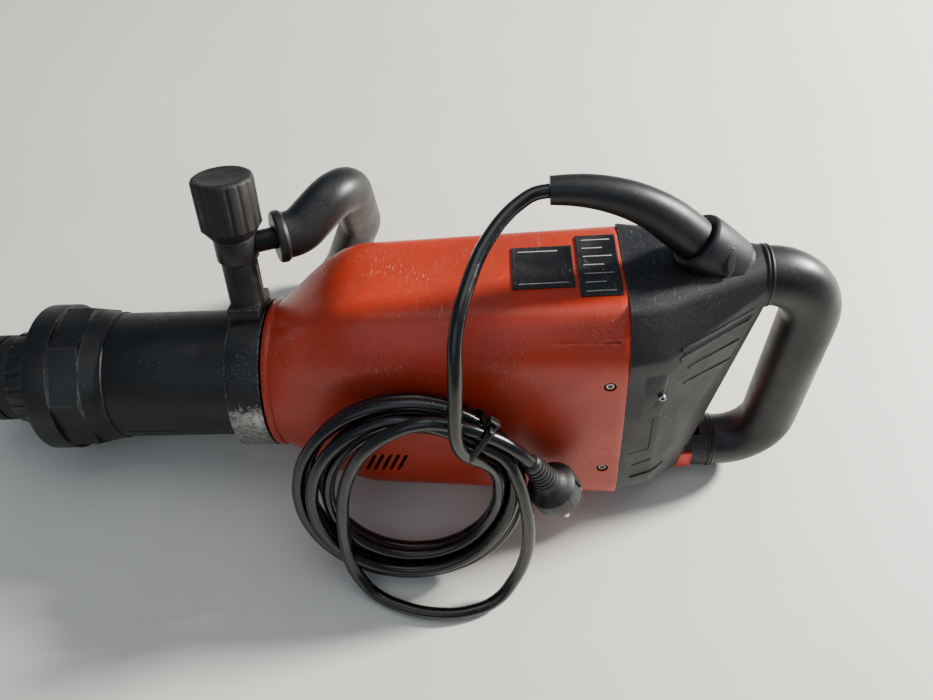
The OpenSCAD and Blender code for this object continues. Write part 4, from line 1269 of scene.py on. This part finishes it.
@dataclass(frozen=True)
class SideHandle:
    """Clamp band, split post, knob and the bow with its grip."""

    band_x_mm: float = -13.5
    post_deg: float = 12.0
    knob_z_mm: float = 117.4
    knob_r_mm: float = 21.5
    knob_h_mm: float = 44.0
    flutes: int = 16

    def at_post(self) -> Matrix:
        """Places a piece turned along x on the post's axis, looking out to the knob."""
        foot = Matrix.Translation(Vector((self.band_x_mm, 0, 0)) * MM)
        lean = Matrix.Rotation(math.radians(-self.post_deg), 4, "X")
        return LIE @ foot @ lean @ Matrix.Rotation(math.radians(-90), 4, "Y")

    def build(self) -> None:
        """Makes the clamp, the bow and the knob."""
        for name, node, width, finish, slot in (
                ("clamp_strap", "clamp_band", 1.0, Finishes.BAND, "painted_steel"),
                ("split_clamp_post", "clamp_post", 0.9, Finishes.BLACK_STEEL, "painted_steel"),
                ("clamp_threaded_stud", "clamp_stud", 0.5, Finishes.SCREW, "bright_steel"),
                ("bow_tube", "bow_bar", 0.4, Finishes.BLACK_STEEL, "painted_steel"),
                ("bow_hinge_bolt", "bow_bolt", 0.4, Finishes.SCREW, "bright_steel")):
            place_piece(from_cad(name, node, width, 2, 32, 0.3), "side_handle", finish)
        grip = from_cad("bow_rubber_grip", "bow_grip", 1.0, 3, 50, 0.1)
        place_piece(grip, "side_handle", Finishes.GRIP_RUBBER)
        self.lip()
        self.knob()

    def lip(self) -> None:
        """The thick lip at the grip's end next to the post."""
        lean = math.radians(self.post_deg)
        start = Vector((self.band_x_mm, 108.5 * math.sin(lean), 108.5 * math.cos(lean)))
        way = (Vector((28, 42, 102)) - start).normalized()
        ring = turned("bow_grip_lip", [(28, 9), (28, 18.0), (29.5, 19.0), (33.5, 19.2), (36, 17.6), (36, 9)],
                      64, hollow=True)
        soften(ring, 0.7, 3, 25)
        turn = Matrix.Translation(start * MM) @ way.to_track_quat("X", "Z").to_matrix().to_4x4()
        place_piece(settle(ring, LIE @ turn), "side_handle", Finishes.GRIP_RUBBER)

    def knob(self) -> None:
        """The fluted knob with its crown and skirt."""
        z, r, h = self.knob_z_mm, self.knob_r_mm, self.knob_h_mm
        knob = turned("fluted_clamp_knob", [
            (z + 0.2, 6.5), (z + 0.2, r - 6.0), (z + 1.2, r - 5.0), (z + 7, r - 1.2), (z + 8.2, r),
            (z + h - 3.0, r + 0.1), (z + h - 1.2, r - 0.6), (z + h - 0.3, r - 2.0), (z + h, r - 4.2),
            (z + h - 0.6, r - 5.4), (z + h - 0.5, 4.0)], self.flutes * 6)
        choose_faces(knob, lambda c, n: (z + 8.3) * MM < c.x < (z + h - 3.2) * MM)
        bpy.ops.mesh.subdivide(number_cuts=1)
        bpy.ops.mesh.select_all(action="DESELECT")
        leave_edit()
        for vertex in knob.data.vertices:
            across = math.hypot(vertex.co.y, vertex.co.z)
            if across > (r - 1.3) * MM and (z + 8) * MM < vertex.co.x < (z + h - 2) * MM:
                wave = math.cos(self.flutes * math.atan2(vertex.co.z, vertex.co.y))
                pull = 1 - 0.035 * max(0.0, wave) ** 2
                vertex.co.y *= pull
                vertex.co.z *= pull
        soften(knob, 0.0)
        settle(knob, self.at_post())
        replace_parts(knob, "clamp_knob")
        place_piece(knob, "knob", Finishes.KNOB_RUBBER)
        washer = turned("knob_washer", [(z - 0.3, 6), (z - 0.3, 13.5), (z + 0.15, 13.7), (z + 0.15, 6)],
                        48, hollow=True)
        soften(washer, 0.1, 1)
        place_piece(settle(washer, self.at_post()), "side_handle", Finishes.SCREW)


@dataclass(frozen=True)
class Switch:
    """The red rocker in the lower arm's root."""

    def build(self) -> None:
        """Makes the rocker with rounded thumb faces."""
        rocker = from_cad("switch_rocker_lever", "switch_lever", 1.6, 3, 15, 0.1)
        place_piece(rocker, "switch_rocker", Finishes.SWITCH_RED)
        pad = block("switch_side_button", (306, -22.4, -104), (326, -15, -88))
        choose_faces(pad, lambda c, n: n.y < -0.9)
        bpy.ops.mesh.inset(thickness=1.2 * MM)
        bpy.ops.transform.translate(value=(0, 1.2 * MM, 0))
        bpy.ops.mesh.subdivide(number_cuts=3)
        leave_edit()
        soften(pad, 1.2, 3, 20)
        place_piece(settle(pad), "housing", Finishes.SWITCH_RED)
        pin = from_cad("switch_rocker_pin", "switch_pin", 0.3, 2)
        place_piece(pin, "housing", Finishes.GROUND)


@dataclass(frozen=True)
class Mechanism:
    """What works inside the shells: motor, gears, crank and hammer."""

    dressing: tuple[tuple[str, str], ...] = (
        ("tool_holder", "OILED"), ("anvil", "GROUND"), ("anvil_seal", "SEAL"), ("barrel", "DIECAST"),
        ("cylinder_liner", "GROUND"), ("ram", "OILED"), ("ram_ring", "SEAL"), ("piston", "DIECAST"),
        ("piston_ring", "SEAL"), ("piston_pin", "GROUND"), ("conrod", "DIECAST"),
        ("crank_gear", "OILED"), ("crank_bearing", "GROUND"), ("gear_case", "DIECAST"),
        ("gear_case_lid", "DIECAST"), ("stator", "IRON"), ("windings", "COPPER"),
        ("rotor_shaft", "GROUND"), ("armature", "IRON"), ("commutator", "COMMUTATOR"),
        ("cooling_fan", "BLACK_SHELL"), ("motor_bearings", "GROUND"), ("brush_holders", "BRASS"),
        ("carbon_brushes", "CARBON"), ("electronics_box", "BOARD"), ("terminal_block", "CREAM"),
        ("cord_clamp", "BLACK_SHELL"), ("sleeve_spring", "GROUND"), ("switch_module", "BLACK_SHELL"))

    def build(self) -> None:
        """Dresses each CAD node of the mechanism."""
        for node, finish in self.dressing:
            dress(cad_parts[node], Finishes[finish])
            LOG.info("%s in %s", node, Finishes[finish].value.name)


def main() -> None:
    """Builds the studio, then the lead, then every sub-assembly."""
    Studio().build()
    MainsLead().build()
    for part in (MotorHousing(), RearHousing(), NeckAndChuck(), SideHandle(), Switch(), Mechanism()):
        part.build()
        LOG.info("%s done", type(part).__name__)


if __name__ == "__main__":
    main()
